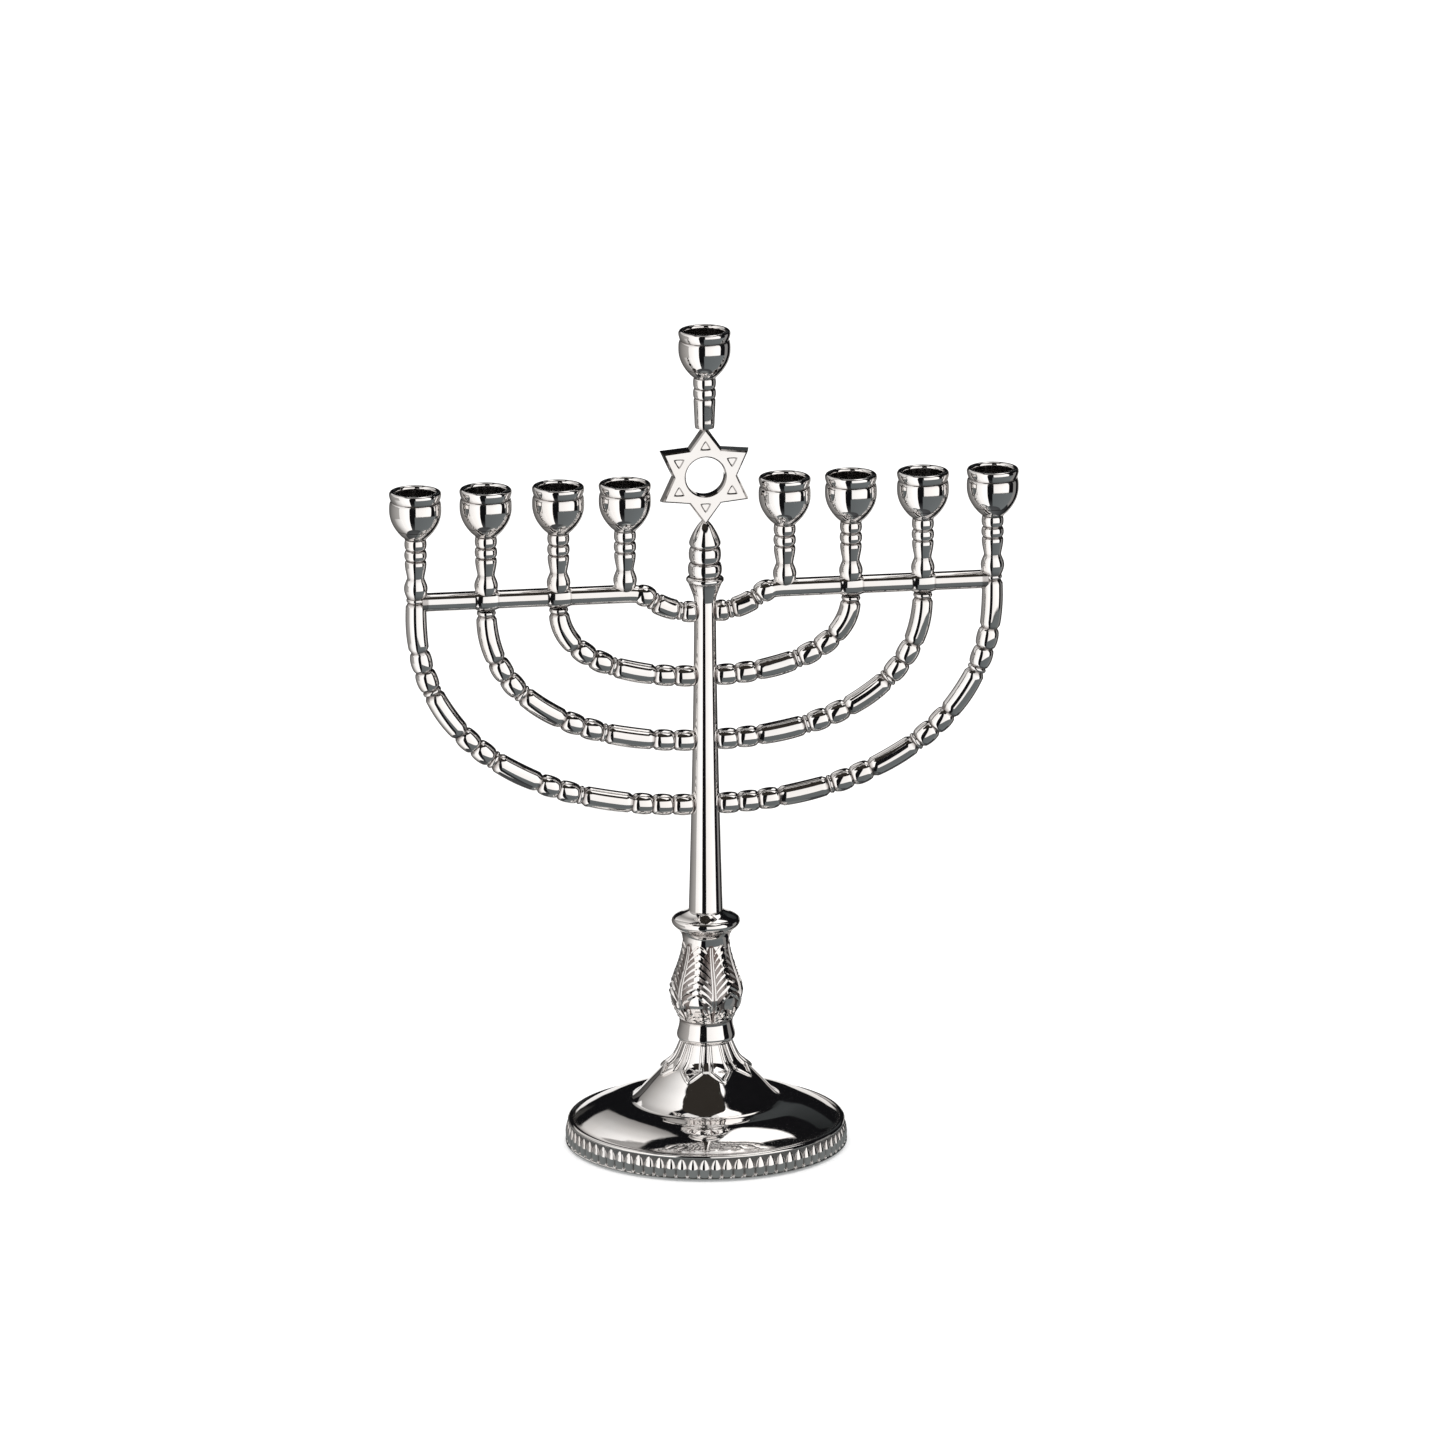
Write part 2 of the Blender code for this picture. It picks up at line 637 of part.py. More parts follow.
def make_arms(material, body):
    for number, groups in enumerate(BEADS_BY_ARM, start=1):
        path = inner_arm_path() if number == 1 else arm_path(number)
        pattern = arm_pattern(path_length(path), groups)
        points = walk(path, [distance for distance, _ in pattern])
        curve = rod_curve(f"arm_{number}", list(zip(points, [radius for _, radius in pattern])))
        place(f"right_arm_{number}", curve, material, body)
        place(f"left_arm_{number}", curve, material, body, turn=math.pi)


def elbow_stations():
    """The crossbar's inner end, which bends down to meet arm 1."""
    end = Vector((ELBOW_END_X, 0.0, FIRST_ARM_Z + inner_arm_rise(ELBOW_END_X)))
    start = Vector((ELBOW_START_X, 0.0, CROSSBAR_Z))
    run = ELBOW_END_X - inner_arm_start()
    slope = run / math.sqrt(inner_arm_arc() ** 2 - run**2)
    middle = Vector((ELBOW_END_X + (CROSSBAR_Z - end.z) / slope, 0.0, CROSSBAR_Z))
    radii = (BEAD_NECK_RADIUS, ARM_RADIUS, KNUCKLE_RADIUS, ARM_RADIUS, CROSSBAR_RADIUS)
    stations = []
    for share, radius in zip(arc_share(5), radii):
        point = end * (1.0 - share) ** 2 + middle * (2.0 * share * (1.0 - share)) + start * share**2
        stations.append((point, radius))
    return stations


def make_crossbars(material, body):
    """A rod through the risers' feet on each side, with a knuckle at each crossing."""
    stations = elbow_stations()
    knuckle = ((-0.5, CROSSBAR_RADIUS), (-0.25, KNUCKLE_RADIUS))
    knuckle += ((0.25, KNUCKLE_RADIUS), (0.5, CROSSBAR_RADIUS))
    for offset in RISER_X[1:-1]:
        for shift, radius in knuckle:
            stations.append((Vector((offset + shift * KNUCKLE_LENGTH, 0.0, CROSSBAR_Z)), radius))
    end_x = RISER_X[-1] - ARM_RADIUS - GAP
    stations.append((Vector((end_x, 0.0, CROSSBAR_Z)), CROSSBAR_RADIUS))
    curve = rod_curve("crossbar", stations)
    place("right_crossbar", curve, material, body)
    place("left_crossbar", curve, material, body, turn=math.pi)


def main():
    clear_scene()
    plate = make_material("nickel_plate", (0.80, 0.78, 0.77), 0.08, 1.0)
    felt = make_material("felt", (0.03, 0.06, 0.04), 0.95, 0.0)
    steel = make_material("steel", (0.55, 0.55, 0.56), 0.35, 1.0)

    foot = make_empty("foot", 0.0)
    make_base(plate, foot)
    make_felt_pad(felt, foot)

    head = make_empty("head", BASE_HEIGHT)
    make_tie_rod(steel, head)
    make_washer(steel, head)
    make_nut(steel, head)
    make_neck_ring(plate, head)
    make_baluster(plate, head)
    make_stem(plate, head)
    make_stem_crown(plate, head)
    make_finial(plate, head)
    make_star(plate, head)
    make_shamash_light(plate, head)
    make_side_lights(plate, head)
    make_arms(plate, head)
    make_crossbars(plate, head)


main()
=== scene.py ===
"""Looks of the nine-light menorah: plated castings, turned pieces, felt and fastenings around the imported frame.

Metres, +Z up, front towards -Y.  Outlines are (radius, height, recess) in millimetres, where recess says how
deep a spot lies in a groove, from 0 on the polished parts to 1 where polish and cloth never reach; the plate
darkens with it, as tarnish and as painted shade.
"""

import math

import bmesh
import bpy
from mathutils import Matrix, Vector


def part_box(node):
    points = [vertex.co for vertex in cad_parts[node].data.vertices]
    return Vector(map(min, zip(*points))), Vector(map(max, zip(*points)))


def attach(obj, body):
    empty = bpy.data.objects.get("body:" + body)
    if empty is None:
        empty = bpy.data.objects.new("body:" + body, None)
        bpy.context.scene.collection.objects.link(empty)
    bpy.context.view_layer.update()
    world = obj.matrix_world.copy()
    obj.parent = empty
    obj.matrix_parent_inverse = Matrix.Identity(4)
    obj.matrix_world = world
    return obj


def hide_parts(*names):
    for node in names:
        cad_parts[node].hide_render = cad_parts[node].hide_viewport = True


bl_info = {
    "name": "Menorah pieces",
    "version": (1, 0, 0),
    "blender": (4, 5, 0),
    "location": "View3D > Sidebar > Menorah",
    "description": "Builds the castings, turned pieces and finishes of a nine-light menorah",
    "category": "Add Mesh",
}

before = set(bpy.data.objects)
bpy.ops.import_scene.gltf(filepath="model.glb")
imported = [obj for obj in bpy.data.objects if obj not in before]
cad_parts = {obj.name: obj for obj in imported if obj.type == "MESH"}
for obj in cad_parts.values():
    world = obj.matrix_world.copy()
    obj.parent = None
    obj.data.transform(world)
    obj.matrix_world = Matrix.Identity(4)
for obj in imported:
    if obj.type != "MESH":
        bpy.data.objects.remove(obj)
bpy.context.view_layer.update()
MM = 0.001
ROD_BORE = 2.3  # radius of the hole for the tie rod, in millimetres
RISERS = (1, 2, 3, 4)
SIDES = (("left", -1.0), ("right", 1.0))


def low(node):
    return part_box(node)[0]


def high(node):
    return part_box(node)[1]


def middle(node):
    return (low(node) + high(node)) / 2.0


# Sizes and colours that a user may change.


class FootSizes(bpy.types.PropertyGroup):
    sides: bpy.props.IntProperty(name="Sides", description="Roundness of the foot", default=160, min=32, max=256)
    lobes: bpy.props.IntProperty(name="Rim lobes", description="Gadroons round the rim", default=76, min=12, max=160)
    lobe_bulge: bpy.props.FloatProperty(
        name="Lobe bulge", description="How far a lobe stands out", default=0.00085, min=0.0002, unit="LENGTH"
    )
    petals: bpy.props.IntProperty(name="Petals", description="Petals round the neck", default=8, min=3, max=16)
    ridge: bpy.props.FloatProperty(
        name="Petal ridge", description="Radius of the ridge round a petal", default=0.0007, unit="LENGTH"
    )


class ColumnSizes(bpy.types.PropertyGroup):
    sides: bpy.props.IntProperty(name="Sides", description="Roundness of turned pieces", default=72, min=24, max=160)
    leaves: bpy.props.IntProperty(name="Leaves", description="Leaves round the baluster", default=6, min=3, max=12)
    veins: bpy.props.IntProperty(name="Lobe pairs", description="Lobe pairs of a leaf", default=8, min=3, max=16)
    vein: bpy.props.FloatProperty(
        name="Lobe", description="Radius of a lobe", default=0.0005, unit="LENGTH"
    )


class ArmSizes(bpy.types.PropertyGroup):
    sides: bpy.props.IntProperty(name="Sides", description="Roundness of the arms", default=28, min=8, max=48)
    bead_length: bpy.props.FloatProperty(name="Bead length", description="Of one bead", default=0.0056, unit="LENGTH")
    bead: bpy.props.FloatProperty(name="Bead radius", description="At the middle", default=0.00305, unit="LENGTH")
    neck: bpy.props.FloatProperty(name="Neck radius", description="Between beads", default=0.00225, unit="LENGTH")
    barrel: bpy.props.FloatProperty(name="Barrel radius", description="At the middle", default=0.00295, unit="LENGTH")
    bar: bpy.props.FloatProperty(name="Bar radius", description="Of the crossbars", default=0.0026, unit="LENGTH")
    squareness: bpy.props.FloatProperty(
        name="Squareness", description="2 makes the arms elliptical, more squarer", default=2.25, min=1.5, max=4.0
    )


class FinishColours(bpy.types.PropertyGroup):
    plate: bpy.props.FloatVectorProperty(
        name="Plate", description="Polished nickel plate", subtype="COLOR", size=3, default=(0.87, 0.855, 0.845)
    )
    # The colour that the grooves darken to: tarnish, and painted shade in the grooves.
    tarnish_and_shade: bpy.props.FloatVectorProperty(
        name="Tarnish", description="Left in the grooves", subtype="COLOR", size=3, default=(0.16, 0.125, 0.115)
    )
    felt: bpy.props.FloatVectorProperty(
        name="Felt", description="Under the foot", subtype="COLOR", size=3, default=(0.022, 0.05, 0.032)
    )
    zinc: bpy.props.FloatVectorProperty(
        name="Zinc", description="Of the fastenings", subtype="COLOR", size=3, default=(0.6, 0.61, 0.62)
    )


class StageSettings(bpy.types.PropertyGroup):
    softbox: bpy.props.FloatProperty(name="Softbox", description="Brightness of the softboxes", default=1.0, min=0.0)
    azimuth: bpy.props.FloatProperty(
        name="Azimuth", description="Of the camera, from the front", subtype="ANGLE", default=math.radians(-8.8)
    )
    elevation: bpy.props.FloatProperty(
        name="Elevation", description="Of the camera", subtype="ANGLE", default=math.radians(15.5)
    )
    roll: bpy.props.FloatProperty(
        name="Roll", description="Of the camera, clockwise", subtype="ANGLE", default=math.radians(-0.12)
    )
    distance: bpy.props.FloatProperty(name="Distance", description="Of the camera", default=4.2, unit="LENGTH")


GROUPS = (
    ("menorah_foot", FootSizes),
    ("menorah_column", ColumnSizes),
    ("menorah_arms", ArmSizes),
    ("menorah_finish", FinishColours),
    ("menorah_stage", StageSettings),
)


# Finishes.


def new_material(name):
    material = bpy.data.materials.new(name)
    material.use_nodes = True
    return material, material.node_tree, material.node_tree.nodes["Principled BSDF"]


def add(tree, kind, **values):
    """A node with its properties set, and its inputs by number or name under 'inputs'."""
    node = tree.nodes.new(kind)
    inputs = values.pop("inputs", {})
    for key, value in values.items():
        setattr(node, key, value)
    for key, value in inputs.items():
        if isinstance(value, bpy.types.NodeSocket):
            tree.links.new(value, node.inputs[key])
        else:
            node.inputs[key].default_value = value
    return node


def noise_of(tree, coordinates, scale, detail=4.0, stretch=(1.0, 1.0, 1.0)):
    mapped = add(tree, "ShaderNodeMapping", inputs={"Vector": coordinates, "Scale": stretch})
    return add(
        tree,
        "ShaderNodeTexNoise",
        inputs={"Vector": mapped.outputs["Vector"], "Scale": scale, "Detail": detail},
    ).outputs["Fac"]


def spread(tree, value, low_out, high_out, low_in=0.3, high_in=0.7):
    return add(
        tree,
        "ShaderNodeMapRange",
        inputs={"Value": value, "From Min": low_in, "From Max": high_in, "To Min": low_out, "To Max": high_out},
    ).outputs["Result"]


def blend_colours(tree, share, first, second):
    node = add(tree, "ShaderNodeMix", data_type="RGBA")
    for socket, value in (("Factor_Float", share), ("A_Color", first), ("B_Color", second)):
        target = next(item for item in node.inputs if item.identifier == socket)
        if isinstance(value, bpy.types.NodeSocket):
            tree.links.new(value, target)
        else:
            target.default_value = value if socket == "Factor_Float" else (*value, 1.0)
    return next(item for item in node.outputs if item.identifier == "Result_Color")


def sum_node(tree, operation, *values, **settings):
    """The result of a Math node on the values."""
    node = add(tree, "ShaderNodeMath", operation=operation, inputs=dict(enumerate(values)), **settings)
    return node.outputs["Value"]


def bump(tree, strength, distance, height, normal=None):
    """The normal that a height gives, over an earlier one if there is one."""
    inputs = {"Strength": strength, "Distance": distance, "Height": height}
    if normal:
        inputs["Normal"] = normal
    return add(tree, "ShaderNodeBump", inputs=inputs).outputs["Normal"]


def set_inputs(shader, **values):
    """Sets or links a shader's inputs, named with _ for each space."""
    for name, value in values.items():
        socket = shader.inputs[name.replace("_", " ")]
        if isinstance(value, bpy.types.NodeSocket):
            shader.id_data.links.new(value, socket)
        else:
            socket.default_value = value


def plated(name, colour, tarnish_and_shade, polish=0.035, soot_and_shade_level=0.0):
    """Polished nickel plate: cloudy wear, hairline scratches, a slightly wavy casting, and tarnish with painted shade
    in the grooves.
    """
    material, tree, shader = new_material(name)
    where = add(tree, "ShaderNodeTexCoord").outputs["Object"]
    recess = add(tree, "ShaderNodeAttribute", attribute_name="recess").outputs["Fac"]
    clouds = noise_of(tree, where, 60.0)
    scratches = noise_of(tree, where, 900.0, 2.0, (1.0, 1.0, 0.06))
    speckle = noise_of(tree, where, 2200.0, 2.0)
    # How far the plate darkens towards the groove colour: tarnish, and painted shade in the grooves.
    tarnish_and_shade_share = sum_node(tree, "MULTIPLY", recess, spread(tree, clouds, 0.65, 1.1), use_clamp=True)
    warm = tuple(channel * share for channel, share in zip(colour, (0.97, 0.95, 0.935)))
    base = blend_colours(tree, spread(tree, clouds, 0.0, 1.0, 0.42, 0.68), colour, warm)
    # The darkening never falls below the given level of soot and painted shade.
    soot_and_shade = sum_node(tree, "MAXIMUM", tarnish_and_shade_share, soot_and_shade_level)
    worn = spread(tree, scratches, polish, polish * 2.2, 0.45, 0.75)
    waves = bump(tree, 0.22, 0.00012, noise_of(tree, where, 170.0, 1.0))
    set_inputs(
        shader,
        Base_Color=blend_colours(tree, soot_and_shade, base, tarnish_and_shade),
        Roughness=sum_node(tree, "ADD", worn, sum_node(tree, "MULTIPLY", tarnish_and_shade_share, 0.3)),
        Metallic=1.0,
        Normal=bump(tree, 0.05, 0.00003, sum_node(tree, "MULTIPLY", scratches, speckle), waves),
    )
    return material


def felted(name, colour):
    """Pressed wool felt: short fibres lying all ways over soft lumps."""
    material, tree, shader = new_material(name)
    where = add(tree, "ShaderNodeTexCoord").outputs["Object"]
    fibres = noise_of(tree, where, 2600.0, 6.0, (1.0, 0.35, 1.0))
    crossing = noise_of(tree, where, 2400.0, 6.0, (0.35, 1.0, 1.0))
    lumps = noise_of(tree, where, 220.0, 3.0)
    pile = sum_node(tree, "MAXIMUM", fibres, crossing)
    light = tuple(min(channel * 2.3 + 0.01, 1.0) for channel in colour)
    dark = tuple(channel * 0.5 for channel in colour)
    body = blend_colours(tree, spread(tree, pile, 0.0, 1.0, 0.45, 0.7), dark, light)
    set_inputs(
        shader,
        Base_Color=blend_colours(tree, spread(tree, lumps, 0.0, 0.45), body, colour),
        Roughness=spread(tree, lumps, 0.86, 1.0),
        Sheen_Weight=0.35,
        Normal=bump(tree, 0.4, 0.0005, lumps, bump(tree, 0.6, 0.0003, pile)),
    )
    return material


def zinc_plated(name, colour):
    """Dull zinc plate on steel fastenings, with spangle, rubbed spots and the lathe's fine rings."""
    material, tree, shader = new_material(name)
    where = add(tree, "ShaderNodeTexCoord").outputs["Object"]
    cells = add(tree, "ShaderNodeTexVoronoi", inputs={"Vector": where, "Scale": 700.0}).outputs["Distance"]
    clouds = noise_of(tree, where, 300.0)
    rings = noise_of(tree, where, 400.0, 2.0, (0.1, 0.1, 14.0))
    dark = tuple(channel * 0.6 for channel in colour)
    set_inputs(
        shader,
        Base_Color=blend_colours(tree, spread(tree, clouds, 0.0, 0.8), colour, dark),
        Roughness=spread(tree, cells, 0.22, 0.42, 0.0, 0.6),
        Metallic=1.0,
        Normal=bump(tree, 0.5, 0.0002, rings),
    )
    return material


def finish(name):
    """The finish of that name, made when it is first asked for."""
    if name in bpy.data.materials:
        return bpy.data.materials[name]
    colours = bpy.context.scene.menorah_finish
    plate, tarnish_and_shade = tuple(colours.plate), tuple(colours.tarnish_and_shade)
    if name == "polished_nickel":
        return plated(name, plate, tarnish_and_shade)
    # The socket finish: soot and painted shade darken it all over, at least 0.62 of the way to its dark colour.
    if name == "socket_soot_and_shade":
        return plated(name, plate, (0.10, 0.08, 0.075), polish=0.12, soot_and_shade_level=0.62)
    if name == "wool_felt":
        return felted(name, tuple(colours.felt))
    if name == "zinc_plate":
        return zinc_plated(name, tuple(colours.zinc))
    raise ValueError(f"there is no finish named {name}")


# Shapes.


def shares(count):
    """The shares 0, 1/count ... 1 of a length."""
    return [step / count for step in range(count + 1)]


def smooth(points, steps=5):
    """More points on the smooth curve through the given ones."""
    vectors = [Vector((*point, 0.0)[:3]) for point in points]
    result = []
    for index in range(len(vectors) - 1):
        before = vectors[max(index - 1, 0)]
        start, end = vectors[index], vectors[index + 1]
        after = vectors[min(index + 2, len(vectors) - 1)]
        for step in range(steps):
            t = step / steps
            result.append(
                0.5
                * (
                    2.0 * start
                    + (end - before) * t
                    + (2.0 * before - 5.0 * start + 4.0 * end - after) * t**2
                    + (3.0 * start - before - 3.0 * end + after) * t**3
                )
            )
    return [tuple(point) for point in result + [vectors[-1]]]


def mesh_of(bm, name, outwards=True):
    """The plain mesh of a bmesh, its faces turned outwards, and the bmesh freed."""
    if outwards:
        bmesh.ops.recalc_face_normals(bm, faces=bm.faces)
    mesh = bpy.data.meshes.new(name)
    bm.to_mesh(mesh)
    bm.free()
    return mesh


def join_rows(bm, rows):
    """Faces between rows of points that have the same number of points."""
    for lower, upper in zip(rows, rows[1:]):
        for column in range(len(lower) - 1):
            bm.faces.new((lower[column], lower[column + 1], upper[column + 1], upper[column]))


# The recess attribute darkens the plate: tarnish, and painted shade in the grooves.
def set_recess(mesh, values):
    attribute = mesh.attributes.new("recess", "FLOAT", "POINT")
    attribute.data.foreach_set("value", values)


def smooth_shaded(mesh, angle=38.0):
    mesh.shade_smooth()
    mesh.set_sharp_from_angle(angle=math.radians(angle))
    return mesh


def turned(name, outline, sides, at=(0.0, 0.0, 0.0), closed=False):
    """A mesh turned about a vertical axis through 'at', from (radius, height, recess) points in millimetres."""
    bm = bmesh.new()
    depth = bm.verts.layers.float.new("recess")
    rings = []
    for point in outline:
        radius, height, recess = (*point, 0.0)[:3]
        if radius < 1e-6:
            pole = bm.verts.new((at[0], at[1], at[2] + height * MM))
            pole[depth] = recess
            rings.append([pole])
            continue
        ring = []
        for side in range(sides):
            angle = math.tau * side / sides
            reach = radius * MM
            vertex = bm.verts.new(
                (at[0] + reach * math.cos(angle), at[1] + reach * math.sin(angle), at[2] + height * MM)
            )
            vertex[depth] = recess
            ring.append(vertex)
        rings.append(ring)
    pairs = list(zip(rings, rings[1:]))
    if closed:
        pairs.append((rings[-1], rings[0]))
    for upper, lower in pairs:
        for side in range(sides):
            after = (side + 1) % sides
            if len(upper) == 1 and len(lower) == 1:
                continue
            if len(upper) == 1:
                bm.faces.new((upper[0], lower[side], lower[after]))
            elif len(lower) == 1:
                bm.faces.new((upper[side], lower[0], upper[after]))
            else:
                bm.faces.new((upper[side], lower[side], lower[after], upper[after]))
    return smooth_shaded(mesh_of(bm, name))


def line_mesh(name, lines):
    """Lines of (point, radius, recess) in metres, as edges that carry both numbers."""
    points, edges, radii, recesses = [], [], [], []
    for line in lines:
        for index, (point, radius, recess) in enumerate(line):
            if index:
                edges.append((len(points) - 1, len(points)))
            points.append(tuple(point))
            radii.append(radius)
            recesses.append(recess)
    mesh = bpy.data.meshes.new(name)
    mesh.from_pydata(points, edges, [])
    mesh.attributes.new("rod_radius", "FLOAT", "POINT").data.foreach_set("value", radii)
    set_recess(mesh, recesses)
    return mesh


def new_tree(name, sockets):
    tree = bpy.data.node_groups.new(name, "GeometryNodeTree")
    tree.interface.new_socket("Geometry", in_out="INPUT", socket_type="NodeSocketGeometry")
    tree.interface.new_socket("Geometry", in_out="OUTPUT", socket_type="NodeSocketGeometry")
    for label, kind in sockets:
        tree.interface.new_socket(label, in_out="INPUT", socket_type="NodeSocket" + kind)
    return tree, add(tree, "NodeGroupInput"), add(tree, "NodeGroupOutput")


def ended(tree, geometry, given, out):
    """Ends a tree with its copies made real, smooth and in the material it is given."""
    real = add(tree, "GeometryNodeRealizeInstances", inputs={"Geometry": geometry})
    shaded = add(tree, "GeometryNodeSetShadeSmooth", inputs={"Geometry": real.outputs["Geometry"]})
    painted = add(
        tree,
        "GeometryNodeSetMaterial",
        inputs={"Geometry": shaded.outputs["Geometry"], "Material": given.outputs["Material"]},
    )
    tree.links.new(painted.outputs["Geometry"], out.inputs["Geometry"])
    return tree


def rod_tree():
    """Sweeps a round section along each line, as thick as the line's rod_radius."""
    if "sweep_rod" in bpy.data.node_groups:
        return bpy.data.node_groups["sweep_rod"]
    tree, given, out = new_tree("sweep_rod", (("Section Sides", "Int"), ("Material", "Material")))
    line = add(tree, "GeometryNodeMeshToCurve", inputs={"Mesh": given.outputs["Geometry"]})
    radius = add(tree, "GeometryNodeInputNamedAttribute", data_type="FLOAT", inputs={"Name": "rod_radius"})
    section = add(
        tree,
        "GeometryNodeCurvePrimitiveCircle",
        inputs={"Resolution": given.outputs["Section Sides"], "Radius": 1.0},
    )
    swept = add(
        tree,
        "GeometryNodeCurveToMesh",
        inputs={
            "Curve": line.outputs["Curve"],
            "Profile Curve": section.outputs["Curve"],
            "Scale": radius.outputs["Attribute"],
            "Fill Caps": True,
        },
    )
    return ended(tree, swept.outputs["Mesh"], given, out)


def round_tree():
    """Repeats a shape round the vertical axis."""
    if "repeat_round" in bpy.data.node_groups:
        return bpy.data.node_groups["repeat_round"]
    tree, given, out = new_tree(
        "repeat_round", (("Count", "Int"), ("First Angle", "Float"), ("Material", "Material"))
    )
    spots = add(tree, "GeometryNodePoints", inputs={"Count": given.outputs["Count"]})
    step = sum_node(tree, "DIVIDE", math.tau, given.outputs["Count"])
    index = add(tree, "GeometryNodeInputIndex").outputs["Index"]
    turn = sum_node(tree, "MULTIPLY_ADD", index, step, given.outputs["First Angle"])
    angles = add(tree, "ShaderNodeCombineXYZ", inputs={"Z": turn})
    copies = add(
        tree,
        "GeometryNodeInstanceOnPoints",
        inputs={
            "Points": spots.outputs["Points"],
            "Instance": given.outputs["Geometry"],
            "Rotation": angles.outputs["Vector"],
        },
    )
    return ended(tree, copies.outputs["Instances"], given, out)


def run_trees(name, mesh, steps):
    """The plain mesh that the given (tree, inputs) steps make of a mesh, one after the other."""
    maker = bpy.data.objects.new(name + "_maker", mesh)
    bpy.context.scene.collection.objects.link(maker)
    for tree, values in steps:
        modifier = maker.modifiers.new(tree.name, "NODES")
        modifier.node_group = tree
        sockets = {
            item.name: item.identifier
            for item in tree.interface.items_tree
            if item.item_type == "SOCKET" and item.in_out == "INPUT"
        }
        for label, value in values.items():
            modifier[sockets[label]] = value
    bpy.context.view_layer.update()
    graph = bpy.context.evaluated_depsgraph_get()
    result = bpy.data.meshes.new_from_object(maker.evaluated_get(graph))
    result.name = name
    bpy.data.objects.remove(maker)
    if not result.polygons:
        raise RuntimeError(f"{name} came out empty")
    return result


def rods(name, lines, sides, material, count=1, first_angle=0.0):
    """Round rods along the given lines, repeated round the axis if count is more than 1."""
    steps = [(rod_tree(), {"Section Sides": sides, "Material": material})]
    if count > 1:
        steps.append((round_tree(), {"Count": count, "First Angle": first_angle, "Material": material}))
    return smooth_shaded(run_trees(name, line_mesh(name, lines), steps), 50.0)


def put(name, mesh, body, material, *nodes, slot="nickel_plate"):
    """Adds a finished piece, which rides on a body and may stand for CAD nodes."""
    if not mesh.materials:
        mesh.materials.append(material)
    piece = bpy.data.objects.new(name, mesh)
    bpy.context.scene.collection.objects.link(piece)
    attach(piece, body)
    if nodes:
        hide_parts(*nodes)
    return piece


# Foot.

FOOT_FLARE = (
    (6.6, 29.0), (6.95, 28.1), (7.7, 26.3), (8.65, 24.5), (9.8, 23.2), (11.2, 22.1), (12.4, 20.9), (14.0, 19.2),
    (15.7, 17.4), (17.5, 15.4), (19.1, 13.7), (20.3, 12.7),
)


def foot_outline():
    """The casting's section: flare and shoulder, crowned disc, rim band, then the hollow underside."""
    rim = high("base").x / MM
    flare = smooth(FOOT_FLARE, 6)
    disc = smooth(
        (
            (20.3, 12.7, 0.1), (21.2, 12.35, 0.1), (22.7, 12.15), (26.0, 11.7), (29.5, 10.6), (32.5, 9.3),
            (34.9, 8.0), (36.2, 7.2, 0.3), (36.6, 7.0, 0.7),
        ),
        6,
    )
    bead = smooth(((36.6, 7.0, 0.7), (36.9, 7.2), (37.4, 7.25), (37.9, 7.0), (38.1, 6.6), (37.95, 6.3, 0.6)), 3)
    # The bead's ends and the band behind the lobes darken: tarnish and painted shade.
    band = ((rim - 0.9, 6.1, 0.7), (rim - 0.8, 3.2, 0.6), (rim - 0.8, 1.4, 0.6), (rim - 0.3, 1.1, 0.3))
    foot = ((rim - 0.05, 0.95), (rim - 0.1, 0.65), (rim - 0.5, 0.5), (rim - 2.8, 0.5))
    under = (
        (rim - 2.8, 1.8), (rim - 5.3, 1.8), (rim - 4.2, 5.6), (21.9, 11.0), (16.4, 15.0), (ROD_BORE, 15.0),
        (ROD_BORE, 29.0),
    )
    return flare + disc[1:] + bead[1:] + list(band) + list(foot) + list(under)


def flare_radius(height):
    """The flare's radius, in millimetres, at a height."""
    points = smooth(FOOT_FLARE, 6)
    for (upper_r, upper_z, _), (lower_r, lower_z, _) in zip(points, points[1:]):
        if lower_z <= height <= upper_z:
            share = (upper_z - height) / (upper_z - lower_z)
            return upper_r + (lower_r - upper_r) * share
    return points[-1][0]


def rim_lobe(radius, pitch, bulge):
    """One gadroon: fullest below its middle, leaning back as it rises to a point under the bead."""
    rows, columns = 9, 8
    foot, tip = 1.0, 6.35
    fullest, narrowing = 0.35, 0.5
    bm = bmesh.new()
    depth = bm.verts.layers.float.new("recess")
    grid = []
    for row in range(rows):
        up = row / (rows - 1)
        if up < fullest:
            swell = 0.78 + 0.22 * math.sin(math.pi / 2.0 * up / fullest)
        else:
            swell = math.cos((up - fullest) / (1.0 - fullest) * math.pi / 2.0 * 0.97) ** 0.8
        wide = 1.0 - 0.93 * max((up - narrowing) / (1.0 - narrowing), 0.0) ** 1.7
        line = []
        for column in range(columns + 1):
            across = column / columns * 2.0 - 1.0
            out = -0.4 + (bulge + 0.4) * swell * math.cos(across * math.pi / 2.0) ** 0.7
            side = math.sin(across * math.pi / 2.0) * pitch * 0.5 * wide
            vertex = bm.verts.new(((radius + out) * MM, side * MM, (foot + (tip - foot) * up) * MM))
            # The lobe's sides, in the valleys between lobes, darken: tarnish and painted shade.
            vertex[depth] = abs(across) ** 3 * 0.9
            line.append(vertex)
        grid.append(line)
    join_rows(bm, grid)
    edge = grid[0] + [row[-1] for row in grid[1:-1]] + grid[-1][::-1] + [row[0] for row in grid[1:-1]][::-1]
    bm.faces.new(edge[::-1])
    return mesh_of(bm, "rim_lobe")


def ball_mesh(name, centre, radius):
    """A small ball of few faces, its radius in millimetres."""
    angles = [math.pi * share for share in shares(6)]
    outline = [(0.0, radius)] + [(radius * math.sin(a), radius * math.cos(a)) for a in angles[1:-1]]
    ball = turned(name, outline + [(0.0, -radius)], 8, centre)
    ball.shade_flat()
    return ball


